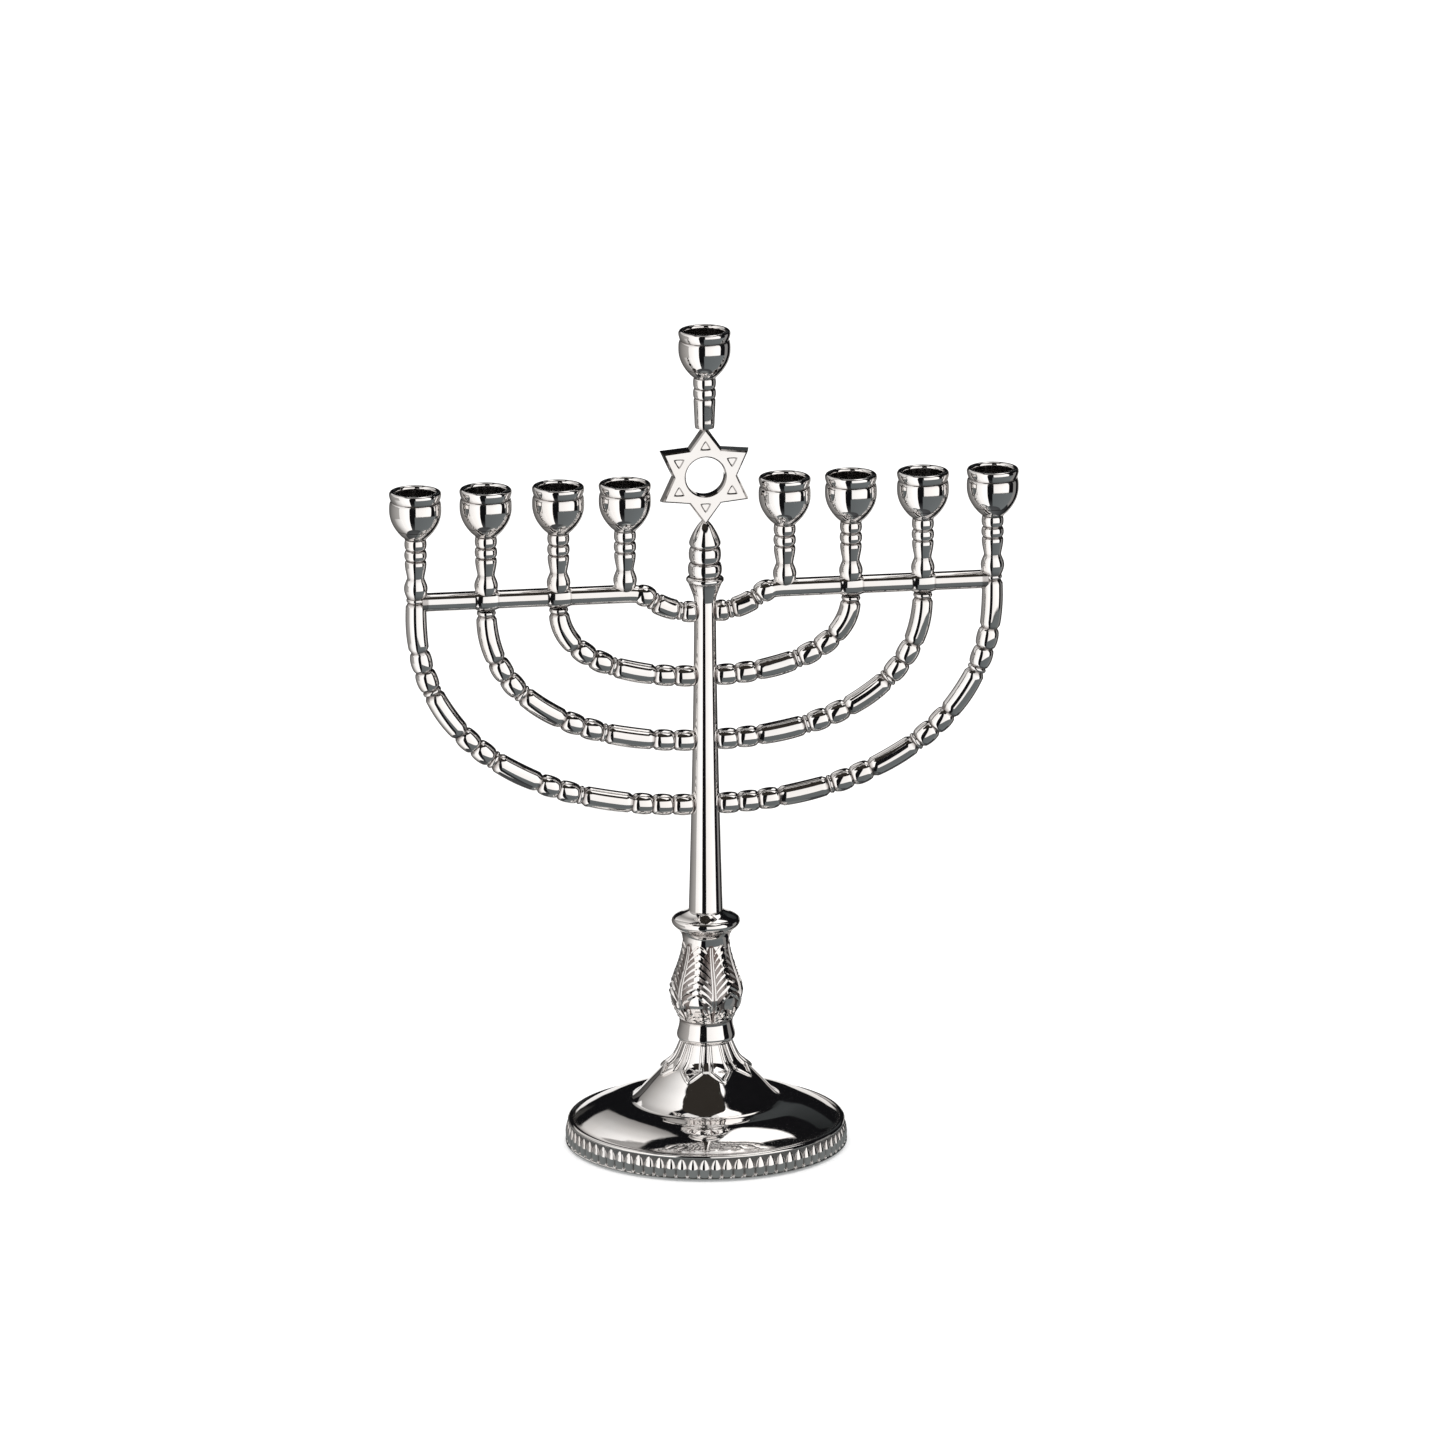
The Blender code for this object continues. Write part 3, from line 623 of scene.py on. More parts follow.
def petal_line(ridge, spacing):
    """The ridge round one petal of the neck: straight sides from the collar, then a blunt point on the shoulder."""
    top, turn, tip = 28.9, 22.4, 20.2
    outline = []
    for step in range(13):
        height = top - (top - turn) * step / 12.0
        strip = 0.95 + 0.5 * step / 12.0  # half the plain strip between two petals, in millimetres
        outline.append((height, spacing / 2.0 - strip / flare_radius(height)))
    widest = outline[-1][1]
    for step in range(1, 8):
        share = step / 7.0
        outline.append((turn - (turn - tip) * share**1.15, widest * (1.0 - share)))
    path = [(height, -half) for height, half in outline] + [(height, half) for height, half in outline[-2::-1]]
    return [
        (Vector((flare_radius(h) * math.cos(a), flare_radius(h) * math.sin(a), h)) * MM, ridge, 0.0) for h, a in path
    ]


class MENORAH_OT_foot(bpy.types.Operator):
    """Casts the foot: the flare, the shoulder, the crowned disc and the plain band of its rim"""

    bl_idname = "menorah.foot"
    bl_label = "Foot"

    def execute(self, context):
        casting = turned("foot_casting", foot_outline(), context.scene.menorah_foot.sides, closed=True)
        put("foot_casting", casting, "foot", finish("polished_nickel"), "base")
        return {"FINISHED"}


class MENORAH_OT_rim(bpy.types.Operator):
    """Sets the gadroon lobes round the rim, with a small bead between each two at their feet"""

    bl_idname = "menorah.rim"
    bl_label = "Rim lobes"

    def execute(self, context):
        sizes = context.scene.menorah_foot
        nickel = finish("polished_nickel")
        band = high("base").x / MM - 0.8
        lobe = rim_lobe(band, math.tau * band / sizes.lobes, sizes.lobe_bulge / MM - 0.1)
        ring = {"Count": sizes.lobes, "First Angle": 0.0, "Material": nickel}
        lobes = run_trees("rim_lobes", lobe, [(round_tree(), ring)])
        put("rim_lobes", smooth_shaded(lobes, 60.0), "foot", nickel)
        dot = ball_mesh("rim_dot", (high("base").x - 0.45 * MM, 0.0, 1.2 * MM), 0.42)
        ring["First Angle"] = math.pi / sizes.lobes
        put("rim_dots", run_trees("rim_dots", dot, [(round_tree(), ring)]), "foot", nickel)
        return {"FINISHED"}


class MENORAH_OT_petals(bpy.types.Operator):
    """Raises the ridges of the petals round the neck"""

    bl_idname = "menorah.petals"
    bl_label = "Neck petals"

    def execute(self, context):
        sizes = context.scene.menorah_foot
        nickel = finish("polished_nickel")
        spacing = math.tau / sizes.petals
        first = -math.pi / 2.0 + spacing / 2.0 + context.scene.menorah_stage.azimuth
        ridges = rods("neck_petals", [petal_line(sizes.ridge, spacing)], 10, nickel, sizes.petals, first)
        put("neck_petals", ridges, "foot", nickel)
        return {"FINISHED"}


class MENORAH_OT_underside(bpy.types.Operator):
    """Lays the felt under the foot and gives the hidden rod, washer and nut their zinc finish"""

    bl_idname = "menorah.underside"
    bl_label = "Felt and fastening"

    def execute(self, context):
        pad = high("felt_pad")
        radius, thick = pad.x / MM, pad.z / MM
        felt = [(0.0, thick), (radius - 0.4, thick), (radius, thick - 0.3), (radius, 0.4), (radius - 0.4, 0.0)]
        inner = [(radius * share, 0.0) for share in (0.75, 0.5, 0.25)]
        disc = turned("felt_disc", felt + inner + [(0.0, 0.0)], 128)
        put("felt_disc", disc, "foot", finish("wool_felt"), "felt_pad", slot="felt")
        for name in ("tie_rod", "washer", "nut"):
            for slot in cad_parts[name].material_slots:
                slot.material = finish("zinc_plate")
        return {"FINISHED"}


# Column.


BALUSTER_BELLY = (
    (6.4, 58.0), (6.4, 56.4), (6.85, 54.0), (7.7, 51.0), (8.7, 48.2), (9.45, 45.8), (9.8, 43.6), (9.7, 41.6),
    (9.2, 39.8), (8.4, 38.2), (7.7, 36.8, 0.2), (7.4, 35.7, 0.6),
)


def belly_radius(height):
    points = smooth(BALUSTER_BELLY, 5)
    for upper, lower in zip(points, points[1:]):
        if lower[1] <= height <= upper[1]:
            share = (upper[1] - height) / (upper[1] - lower[1])
            return upper[0] + (lower[0] - upper[0]) * share
    return points[-1][0]


def on_belly(height, angle, lift=0.0):
    radius = belly_radius(height) + lift
    return Vector((radius * math.cos(angle), radius * math.sin(angle), height)) * MM


def leaf_lines(pairs, vein):
    """One feathered leaf: a double midrib, slanting lobes that thicken outwards, and the shell at its foot."""
    foot, tip = 41.0, 57.2
    lines = []
    for side in (-1.0, 1.0):
        rib = []
        for share in shares(12):
            height = foot - 1.5 + (tip - foot + 1.3) * share
            angle = side * (0.48 - 0.2 * share) / belly_radius(height)
            rib.append((on_belly(height, angle), vein * (0.75 - 0.3 * share), 0.0))
        lines.append(rib)
        for pair in range(pairs):
            share = pair / (pairs - 1)
            start = foot + (tip - foot - 2.6) * share
            reach, rise = 4.3 - 1.9 * share, 3.3 - 0.6 * share
            line = []
            for along in shares(7):
                height = start + rise * along**0.9
                offset = 0.7 + reach * along**1.15
                thick = vein * (0.45 + 0.85 * math.sin(math.pi * along**1.3 * 0.86)) * (1.0 - 0.25 * share)
                angle = side * offset / belly_radius(height)
                line.append((on_belly(height, angle, -0.22 * along * (1.0 - along) * 4.0), thick, 0.0))
            lines.append(line)
        for stroke in range(5):
            slant = math.radians(14.0 + 17.0 * stroke)
            line = []
            for along in shares(6):
                length = (5.6 - 0.55 * stroke) * along
                height = 35.9 + length * math.cos(slant)
                offset = 0.15 + length * math.sin(slant)
                thick = vein * (0.35 + 0.75 * math.sin(math.pi * along**1.4 * 0.85))
                line.append((on_belly(height, side * offset / belly_radius(height), -0.1), thick, 0.0))
            lines.append(line)
    return lines


LEAF_WIDTHS = (
    (36.0, 0.8), (37.4, 2.7), (39.4, 3.9), (41.4, 3.7), (43.5, 4.8), (46.5, 4.8), (50.0, 4.0), (54.0, 2.7),
    (57.6, 0.5),
)


def leaf_ground():
    """The low swelling under one leaf's lobes, closed behind inside the baluster."""
    rows = smooth(LEAF_WIDTHS, 3)
    columns = 8
    bm = bmesh.new()
    depth = bm.verts.layers.float.new("recess")
    sheets = []
    for lift, sunk in ((0.12, 0.2), (-0.7, 0.0)):
        sheet = []
        for height, wide, _ in rows:
            line = []
            for column in range(columns + 1):
                across = column / columns * 2.0 - 1.0
                rise = lift - sunk * across**4
                vertex = bm.verts.new(on_belly(height, across * wide / belly_radius(height), rise))
                # The whole ground takes full recess: tarnish and painted shade between the lobes.
                vertex[depth] = 1.0
                line.append(vertex)
            sheet.append(line)
        sheets.append(sheet)
    for sheet in sheets:
        join_rows(bm, sheet)
    for first, second in ((0, 0), (-1, -1)):
        for column in range(columns):
            face, back = sheets[0][first], sheets[1][second]
            bm.faces.new((face[column], back[column], back[column + 1], face[column + 1]))
    for row in range(len(rows) - 1):
        for edge in (0, -1):
            face, back = sheets[0], sheets[1]
            bm.faces.new((face[row][edge], face[row + 1][edge], back[row + 1][edge], back[row][edge]))
    return mesh_of(bm, "leaf_ground")


def bead_swell(neck, widest, share):
    """The radius along one bead, full in the middle and cut in to the neck at both ends."""
    return neck + (widest - neck) * max(1.0 - abs(2.0 * share - 1.0) ** 2.1, 0.0) ** 0.5


def bead_outline(top, foot, neck, widest, points=12):
    """A turned bead between two heights, from the top down."""
    outline = []
    for step in range(points + 1):
        share = step / points
        radius = bead_swell(neck, widest, share)
        # Darker towards the neck: tarnish and painted shade in the groove.
        groove = max(0.0, 1.0 - (radius - neck) / (widest - neck) / 0.55)
        outline.append((radius, top + (foot - top) * share, groove))
    return outline


def make_star(tip, notch, hole, thickness, centre, face_metal, soot_and_shade_metal):
    """A cast star: a flat face with drawn sides, a round opening and a sunk triangle in each point."""
    draft, sunk, bevel = 0.32 * MM, 0.3 * MM, 0.4 * MM
    front, back = -thickness / 2.0, thickness / 2.0
    segments = 8  # along each of the twelve edges
    count = 12 * segments
    triangle, triangle_sides = 1.0 * MM, 18  # half height of a sunk triangle, and sides of its rounded outline

    def edge_point(index, inset):
        """A point on the star's edge, inset parallel to it."""
        corner, step = divmod(index, segments)
        ends = []
        for offset in (0, 1):
            which = (corner + offset) % 12
            sharp = which % 2 == 0
            radius = tip - inset * 2.0 if sharp else notch - inset * 1.06
            angle = math.pi / 2.0 + which * math.pi / 6.0
            ends.append(Vector((radius * math.cos(angle), 0.0, radius * math.sin(angle))))
        return ends[0].lerp(ends[1], step / segments)

    def hole_point(index, radius):
        edge = edge_point(index, 0.0)
        angle = math.atan2(edge.z, edge.x)
        return Vector((radius * math.cos(angle), 0.0, radius * math.sin(angle)))

    loops = (
        (hole_point, hole, front + bevel),
        (hole_point, hole + bevel, front),
        (edge_point, draft + bevel, front),
        (edge_point, draft, front + bevel),
        (edge_point, 0.0, back - 0.5 * MM),
        (edge_point, 0.35 * MM, back),
        (hole_point, hole + 0.25 * MM, back),
        (hole_point, hole, back - 0.25 * MM),
    )
    bm = bmesh.new()
    rings = []
    for place, size, depth in loops:
        points = [place(index, size) for index in range(count)]
        rings.append([bm.verts.new((centre.x + p.x, centre.y + depth, centre.z + p.z)) for p in points])
    for ring, after in zip(rings, rings[1:] + rings[:1]):
        for index in range(count):
            following = (index + 1) % count
            bm.faces.new((ring[index], ring[following], after[following], after[index]))
    mesh = mesh_of(bm, "star_casting")
    cut = bmesh.new()
    for point in range(6):
        angle = math.pi / 2.0 + point * math.pi / 3.0
        out = Vector((math.cos(angle), 0.0, math.sin(angle)))
        across = Vector((-math.sin(angle), 0.0, math.cos(angle)))
        heart = centre + out * (hole + tip) * 0.43
        corners = []
        for share in shares(triangle_sides)[:-1]:
            direction = math.tau * share
            reach = triangle / max(math.cos(direction % (math.tau / 3.0) - math.pi / 3.0), 0.58)
            corners.append(heart + out * reach * math.cos(direction) + across * reach * math.sin(direction))
        rows = []
        for depth in (front - 1.0 * MM, front + sunk):
            shrink = 2.13 if depth < front else 0.66
            rows.append([cut.verts.new(heart + (c - heart) * shrink + Vector((0, depth, 0))) for c in corners])
        for index in range(triangle_sides):
            after = (index + 1) % triangle_sides
            cut.faces.new((rows[0][index], rows[0][after], rows[1][after], rows[1][index]))
        cut.faces.new(rows[0])
        cut.faces.new(rows[1])
    body = bpy.data.objects.new("star_body", mesh)
    cutter = bpy.data.objects.new("star_cutter", mesh_of(cut, "star_cutter"))
    for item in (body, cutter):
        bpy.context.scene.collection.objects.link(item)
    hollow = body.modifiers.new("hollow", "BOOLEAN")
    hollow.operation = "DIFFERENCE"
    hollow.object = cutter
    bpy.context.view_layer.update()
    result = bpy.data.meshes.new_from_object(body.evaluated_get(bpy.context.evaluated_depsgraph_get()))
    bpy.data.objects.remove(body)
    bpy.data.objects.remove(cutter)
    result.materials.clear()
    result.materials.append(face_metal)
    result.materials.append(soot_and_shade_metal)
    # The walls of the sunk triangles take the dark second finish: a painted outline of shade round each triangle.
    for face in result.polygons:
        if 0.05 * MM < face.center.y - centre.y - front < 0.27 * MM:
            face.material_index = 1
    set_recess(result, [0.0] * len(result.vertices))
    return smooth_shaded(result, 30.0)


def collar_outline():
    """The round collar between the foot's neck and the baluster, from the top down."""
    outside = smooth(
        (
            (7.4, 35.3, 0.5), (7.35, 34.6), (7.45, 33.6), (7.7, 32.5), (7.97, 31.5), (8.05, 30.8), (7.9, 30.1),
            (7.4, 29.5), (6.7, 29.1, 0.6),
        ),
        4,
    )
    return outside + [(ROD_BORE, 29.05), (ROD_BORE, 35.3)]


def baluster_outline():
    """The baluster from the top down: a rolled flange, a waist and the belly under the leaves."""
    flange = smooth(
        (
            (4.6, 66.5, 0.6), (5.2, 66.0), (6.4, 65.4), (7.8, 64.9), (8.9, 64.3), (9.4, 63.5), (9.3, 62.7),
            (8.75, 61.95), (8.1, 61.4, 0.3), (7.8, 61.1, 0.7),
        ),
        4,
    )
    waist = smooth(((7.8, 61.1, 0.7), (7.3, 60.5, 0.3), (6.7, 59.4), (6.4, 58.0)), 4)
    belly = smooth(BALUSTER_BELLY, 6)
    return flange + waist[1:] + belly[1:] + [(7.25, 35.0, 0.7), (ROD_BORE, 35.0), (ROD_BORE, 66.5)]


def stem_outline(top, foot):
    """The stem's taper, wider towards its foot, closed at both ends."""
    side = []
    for share in shares(24):
        side.append((3.0 + 1.7 * share**1.5, top - (top - foot) * share))
    return [(0.0, top)] + side + [(0.0, foot)]


def cap_outline():
    """The crown on the stem: a rounded head over a hollow cone."""
    head = smooth(((3.9, 160.85), (4.6, 160.75), (5.1, 160.4), (5.2, 159.9), (5.05, 159.5, 0.2)), 3)
    cone = smooth(
        ((5.05, 159.5, 0.2), (4.75, 159.2, 0.5), (4.2, 157.9), (3.6, 156.3), (3.15, 154.9), (2.98, 153.6)), 5
    )
    return [(0.0, 160.85)] + head + cone[1:] + [(0.0, 153.6)]


def acorn_outline():
    """An acorn over two beads."""
    acorn = smooth(
        (
            (1.1, 176.3), (1.9, 175.4), (2.8, 174.0), (3.6, 172.5), (4.2, 171.0), (4.35, 170.2),
            (4.15, 169.6, 0.3), (3.8, 169.2, 0.8),
        ),
        4,
    )
    beads = bead_outline(169.2, 164.9, 3.75, 4.45) + bead_outline(164.9, 160.8, 3.8, 4.7)
    return [(0.0, 176.6)] + acorn + beads[1:] + [(0.0, 160.8)]


class MENORAH_OT_baluster(bpy.types.Operator):
    """Turns the collar and the baluster that stands on it"""

    bl_idname = "menorah.baluster"
    bl_label = "Collar and baluster"

    def execute(self, context):
        sides = context.scene.menorah_column.sides
        nickel = finish("polished_nickel")
        collar = turned("neck_collar", collar_outline(), sides, closed=True)
        put("neck_collar", collar, "head", nickel, "neck_ring")
        body = turned("baluster_body", baluster_outline(), 2 * sides, closed=True)
        put("baluster_body", body, "head", nickel, "baluster")
        return {"FINISHED"}


class MENORAH_OT_leaves(bpy.types.Operator):
    """Lays the feathered leaves round the baluster's belly"""

    bl_idname = "menorah.leaves"
    bl_label = "Baluster leaves"

    def execute(self, context):
        sizes = context.scene.menorah_column
        nickel = finish("polished_nickel")
        first = -math.pi / 2.0 + context.scene.menorah_stage.azimuth + math.radians(13.5)
        veins = rods("baluster_leaves", leaf_lines(sizes.veins, sizes.vein), 6, nickel, sizes.leaves, first)
        put("baluster_leaves", veins, "head", nickel)
        ring = {"Count": sizes.leaves, "First Angle": first, "Material": nickel}
        grounds = run_trees("leaf_grounds", leaf_ground(), [(round_tree(), ring)])
        put("leaf_grounds", smooth_shaded(grounds), "head", nickel)
        return {"FINISHED"}


class MENORAH_OT_stem(bpy.types.Operator):
    """Turns the tapered stem, the crown on it and the acorn finial"""

    bl_idname = "menorah.stem"
    bl_label = "Stem, crown and acorn"

    def execute(self, context):
        sides = context.scene.menorah_column.sides
        nickel = finish("polished_nickel")
        stem = stem_outline(high("stem").z / MM + 0.3, 66.2)
        put("stem_tube", turned("stem_tube", stem, sides), "head", nickel, "stem")
        put("stem_cap", turned("stem_cap", cap_outline(), sides), "head", nickel, "stem_crown")
        put("acorn_finial", turned("acorn_finial", acorn_outline(), sides), "head", nickel, "finial")
        return {"FINISHED"}


class MENORAH_OT_star(bpy.types.Operator):
    """Casts the six-pointed star with its round opening and sunk triangles"""

    bl_idname = "menorah.star"
    bl_label = "Star"

    def execute(self, context):
        nickel, soot_and_shade = finish("polished_nickel"), finish("socket_soot_and_shade")
        thickness = high("star").y - low("star").y
        tip = high("star").z - middle("star").z + 0.9 * MM  # its end points run into the acorn and the shank
        casting = make_star(tip, 9.0 * MM, 5.4 * MM, thickness, middle("star"), nickel, soot_and_shade)
        put("star_casting", casting, "head", nickel, "star")
        return {"FINISHED"}


# Shanks and cups.


def cup_outline():
    """A tulip cup: the socket's floor and wall, a rolled lip over a fine groove, and the bowl."""
    socket = [(0.0, 2.5, 0.9), (3.0, 2.5, 0.9)] + smooth(
        ((3.8, 2.6, 0.9), (4.8, 3.4, 0.8), (5.25, 5.0, 0.6), (5.4, 7.0, 0.4), (5.4, 9.6, 0.2), (5.42, 12.0)), 3
    )
    lip = smooth(
        (
            (5.42, 12.0), (5.5, 12.75), (5.85, 13.2), (6.3, 13.28), (6.8, 13.15), (7.1, 12.7), (7.12, 12.1),
            (6.98, 11.4), (6.8, 10.85, 0.2), (6.68, 10.5, 0.9),
        ),
        4,
    )
    bowl = smooth(
        (
            (6.68, 10.5, 0.9), (6.9, 10.2, 0.2), (7.08, 9.5), (7.14, 8.3), (7.08, 6.9), (6.85, 5.7), (6.45, 4.5),
            (5.85, 3.3), (5.05, 2.1), (4.15, 1.0), (3.3, 0.2, 0.3), (3.0, -0.2, 0.8),
        ),
        4,
    )
    return socket + lip[1:] + bowl[1:] + [(0.0, -0.2)]


def split_faces(mesh, foot, radius, heights, material_index):
    """Gives the faces inside a socket, between two heights above the cup's foot, another material."""
    for face in mesh.polygons:
        spot = face.center - foot
        if math.hypot(spot.x, spot.y) < radius and heights[0] < spot.z < heights[1]:
            face.material_index = material_index


def side_shank_outline():
    """Two beads over a tapered body that stands on a round root, millimetres above the bar's middle."""
    outline = [(0.0, 18.1)]
    outline += bead_outline(18.1, 14.9, 2.45, 3.05, 10)
    outline += bead_outline(14.9, 12.0, 2.45, 3.1, 10)[1:]
    outline += smooth(
        (
            (2.45, 12.0, 0.9), (2.9, 11.6, 0.1), (2.98, 10.7), (2.8, 9.3), (2.5, 7.8), (2.4, 6.9, 0.3),
            (2.75, 6.0), (3.15, 4.9), (3.25, 3.9), (3.05, 2.8), (2.6, 1.6, 0.6), (2.2, 0.8, 0.8),
        ),
        4,
    )[1:]
    return outline + [(0.0, 0.8)]


def top_shank_outline():
    """Two small beads over a long tapered body, millimetres above the shank's foot."""
    outline = [(0.0, 13.5)]
    outline += bead_outline(13.5, 10.4, 2.75, 3.15, 10)
    outline += bead_outline(10.4, 7.6, 2.75, 3.15, 10)[1:]
    body = ((2.75, 7.6, 0.9), (2.98, 7.2, 0.1), (3.0, 6.2), (2.9, 4.0), (2.8, 2.0), (2.75, 0.4), (2.6, -0.7, 0.5))
    outline += smooth(body, 4)[1:]
    peg = [(1.2, -0.85, 0.9), (1.05, -2.4, 0.6)]  # soldered over the star's top point
    return outline + peg + [(0.0, -2.4)]


def labelled(part):
    """What each of the nine lights is called, with its CAD node for the cup or the shank."""
    sides = [(f"{side}_{riser}", f"{side}_{part}_{riser}") for side, _ in SIDES for riser in RISERS]
    return [("top", "shamash_" + part)] + sides


class MENORAH_OT_cups(bpy.types.Operator):
    """Turns the nine candle cups, each with a socket darkened by soot and painted shade"""

    bl_idname = "menorah.cups"
    bl_label = "Candle cups"

    def execute(self, context):
        sides = context.scene.menorah_column.sides
        nickel, socket = finish("polished_nickel"), finish("socket_soot_and_shade")
        for label, node in labelled("cup"):
            at = middle(node)
            at.z = low(node).z
            cup = turned(label + "_candle_cup", cup_outline(), sides, at)
            cup.materials.append(nickel)
            cup.materials.append(socket)
            # The socket's inside takes the dark finish: soot and painted shade.
            split_faces(cup, at, 5.44 * MM, (2.4 * MM, 12.3 * MM), 1)
            put(label + "_candle_cup", cup, "head", nickel, node)
        return {"FINISHED"}


class MENORAH_OT_shanks(bpy.types.Operator):
    """Turns the shanks under the cups; the eight lower ones reach down to the bar"""

    bl_idname = "menorah.shanks"
    bl_label = "Cup shanks"

    def execute(self, context):
        sides = context.scene.menorah_column.sides
        for label, node in labelled("shank"):
            foot = middle(node)
            foot.z = low(node).z
            outline = top_shank_outline()
            if label != "top":
                foot.z -= 3.3 * MM
                outline = side_shank_outline()
            shank = turned(label + "_turned_shank", outline, sides, foot)
            put(label + "_turned_shank", shank, "head", finish("polished_nickel"), node)
        return {"FINISHED"}


# Arms and bars.

BEADS_BY_ARM = ((1,), (2, 2), (2, 2, 2), (3, 2, 2, 2))
FIRST_ARM_BELOW_STEM = 2.8 * MM
ARM_PITCH = 18.2 * MM
BAR_ABOVE_FIRST_ARM = 5.8 * MM
KNUCKLE = 3.0 * MM  # radius of the bar's knuckle under a riser


def rod_length(path):
    return sum((after - before).length for before, after in zip(path, path[1:]))


def along_path(path, distances):
    """The points at the given distances along a path, which rise from one to the next."""
    points, travelled, step = [], 0.0, 0
    for distance in distances:
        while step < len(path) - 2 and travelled + (path[step + 1] - path[step]).length < distance:
            travelled += (path[step + 1] - path[step]).length
            step += 1
        run = path[step + 1] - path[step]
        points.append(path[step] + run * ((distance - travelled) / run.length))
    return points


def bead_run(start, length, sizes):
    """(distance, radius, recess) along one bead."""
    run = []
    for share in shares(11)[:-1]:
        radius = bead_swell(sizes.neck, sizes.bead, share)
        # Darker towards the neck between beads: tarnish and painted shade in the groove.
        tarnish_and_shade_share = max(0.0, 1.0 - (radius - sizes.neck) / (sizes.bead - sizes.neck) / 0.6)
        run.append((start + length * share, radius, tarnish_and_shade_share * 0.9))
    return run


def ring_run(start, width, neck, bar, steps):
    """(distance, radius, recess) along one thin ring."""
    swells = [(share, math.sin(math.pi * share)) for share in shares(steps)[:-1]]
    return [(start + width * share, neck + (bar - neck) * swell**0.5, 0.7 * (1.0 - swell)) for share, swell in swells]


def barrel_run(start, length, sizes):
    """(distance, radius, recess) along one barrel, which ends in a thin collar."""
    collar, shoulder = 1.3 * MM, 1.1 * MM
    run = [(start, sizes.neck, 0.9)]
    inner = length - collar
    for share in shares(14):
        swell = 1.0 - 0.05 * (2.0 * share - 1.0) ** 2
        nose = min(share * inner / shoulder, (1.0 - share) * inner / shoulder, 1.0)
        radius = sizes.neck + (sizes.barrel * swell - sizes.neck) * math.sin(nose * math.pi / 2.0) ** 0.6
        run.append((start + inner * (0.01 + 0.98 * share), radius, 0.8 * max(0.0, 1.0 - nose * 1.6)))
    return run + ring_run(start + inner, collar, sizes.neck * 0.9486, sizes.bar * 1.02, 6)


def arm_run(length, groups, sizes):
    barrel = (length - sum(groups) * sizes.bead_length) / len(groups)
    run, start = [], 0.0
    for beads in groups:
        for _ in range(beads):
            run += bead_run(start, sizes.bead_length, sizes)
            start += sizes.bead_length
        run += barrel_run(start, barrel, sizes)
        start += barrel
    return run


def bar_height():
    return high("stem").z - FIRST_ARM_BELOW_STEM + BAR_ABOVE_FIRST_ARM


def stem_radius(height):
    stem_low, stem_high = low("stem").z, high("stem").z
    share = min(max((stem_high - height) / (stem_high - stem_low), 0.0), 1.0)
    return (3.0 + 1.7 * share**1.5) * MM


def arm_path(number, squareness):
    """The centre line of arms 2 to 4: a squarish quarter of an ellipse from the stem up to the bar."""
    reach = middle(f"right_shank_{number}").x
    joint = high("stem").z - FIRST_ARM_BELOW_STEM - (number - 1) * ARM_PITCH
    top = bar_height() - KNUCKLE
    start = stem_radius(joint) - 0.4 * MM
    power = 2.0 / squareness
    points = [Vector((start, 0.0, joint))]
    for step in range(401):
        angle = step / 400.0 * math.pi / 2.0
        x, z = reach * math.sin(angle) ** power, top - (top - joint) * math.cos(angle) ** power
        if x > start + 0.1 * MM:
            points.append(Vector((x, 0.0, z)))
    if number == len(BEADS_BY_ARM):
        points.append(Vector((reach, 0.0, bar_height() + 1.4 * MM)))
    return points


def inner_arc():
    """Where arm 1's shallow arc leaves the stem and ends at the bar's curl, its lowest height and its radius."""
    joint = high("stem").z - FIRST_ARM_BELOW_STEM
    start = stem_radius(joint)
    end = middle("right_shank_1").x - 7.0 * MM
    rise = BAR_ABOVE_FIRST_ARM - 1.8 * MM
    return start, end, joint, ((end - start) ** 2 + rise**2) / (2.0 * rise)


def inner_arm_path():
    start, end, joint, arc = inner_arc()
    points = []
    for step in range(61):
        x = start - 0.4 * MM + (end - start + 0.2 * MM) * step / 60.0
        points.append(Vector((x, 0.0, joint + arc - math.sqrt(arc**2 - (x - start) ** 2))))
    return points


def inner_arm_run(length, sizes):
    """Arm 1: one bead, a thin ring, a short barrel and a second thin ring."""
    bead, ring = 3.7 * MM, 1.3 * MM
    run = bead_run(0.0, bead, sizes)
    for start in (bead, length - ring):
        run += ring_run(start, ring, sizes.neck * 0.92, sizes.bar, 7)
        if start == bead:
            inner = length - bead - 2.0 * ring
            for share in shares(13)[:-1]:
                nose = min(share * inner / (1.2 * MM), (1.0 - share) * inner / (1.2 * MM), 1.0)
                radius = sizes.neck + (sizes.barrel - sizes.neck) * math.sin(nose * math.pi / 2.0) ** 0.7
                run.append((start + ring + inner * share, radius, 0.8 * max(0.0, 1.0 - nose * 1.6)))
    run.append((length, sizes.neck, 0.6))
    return run


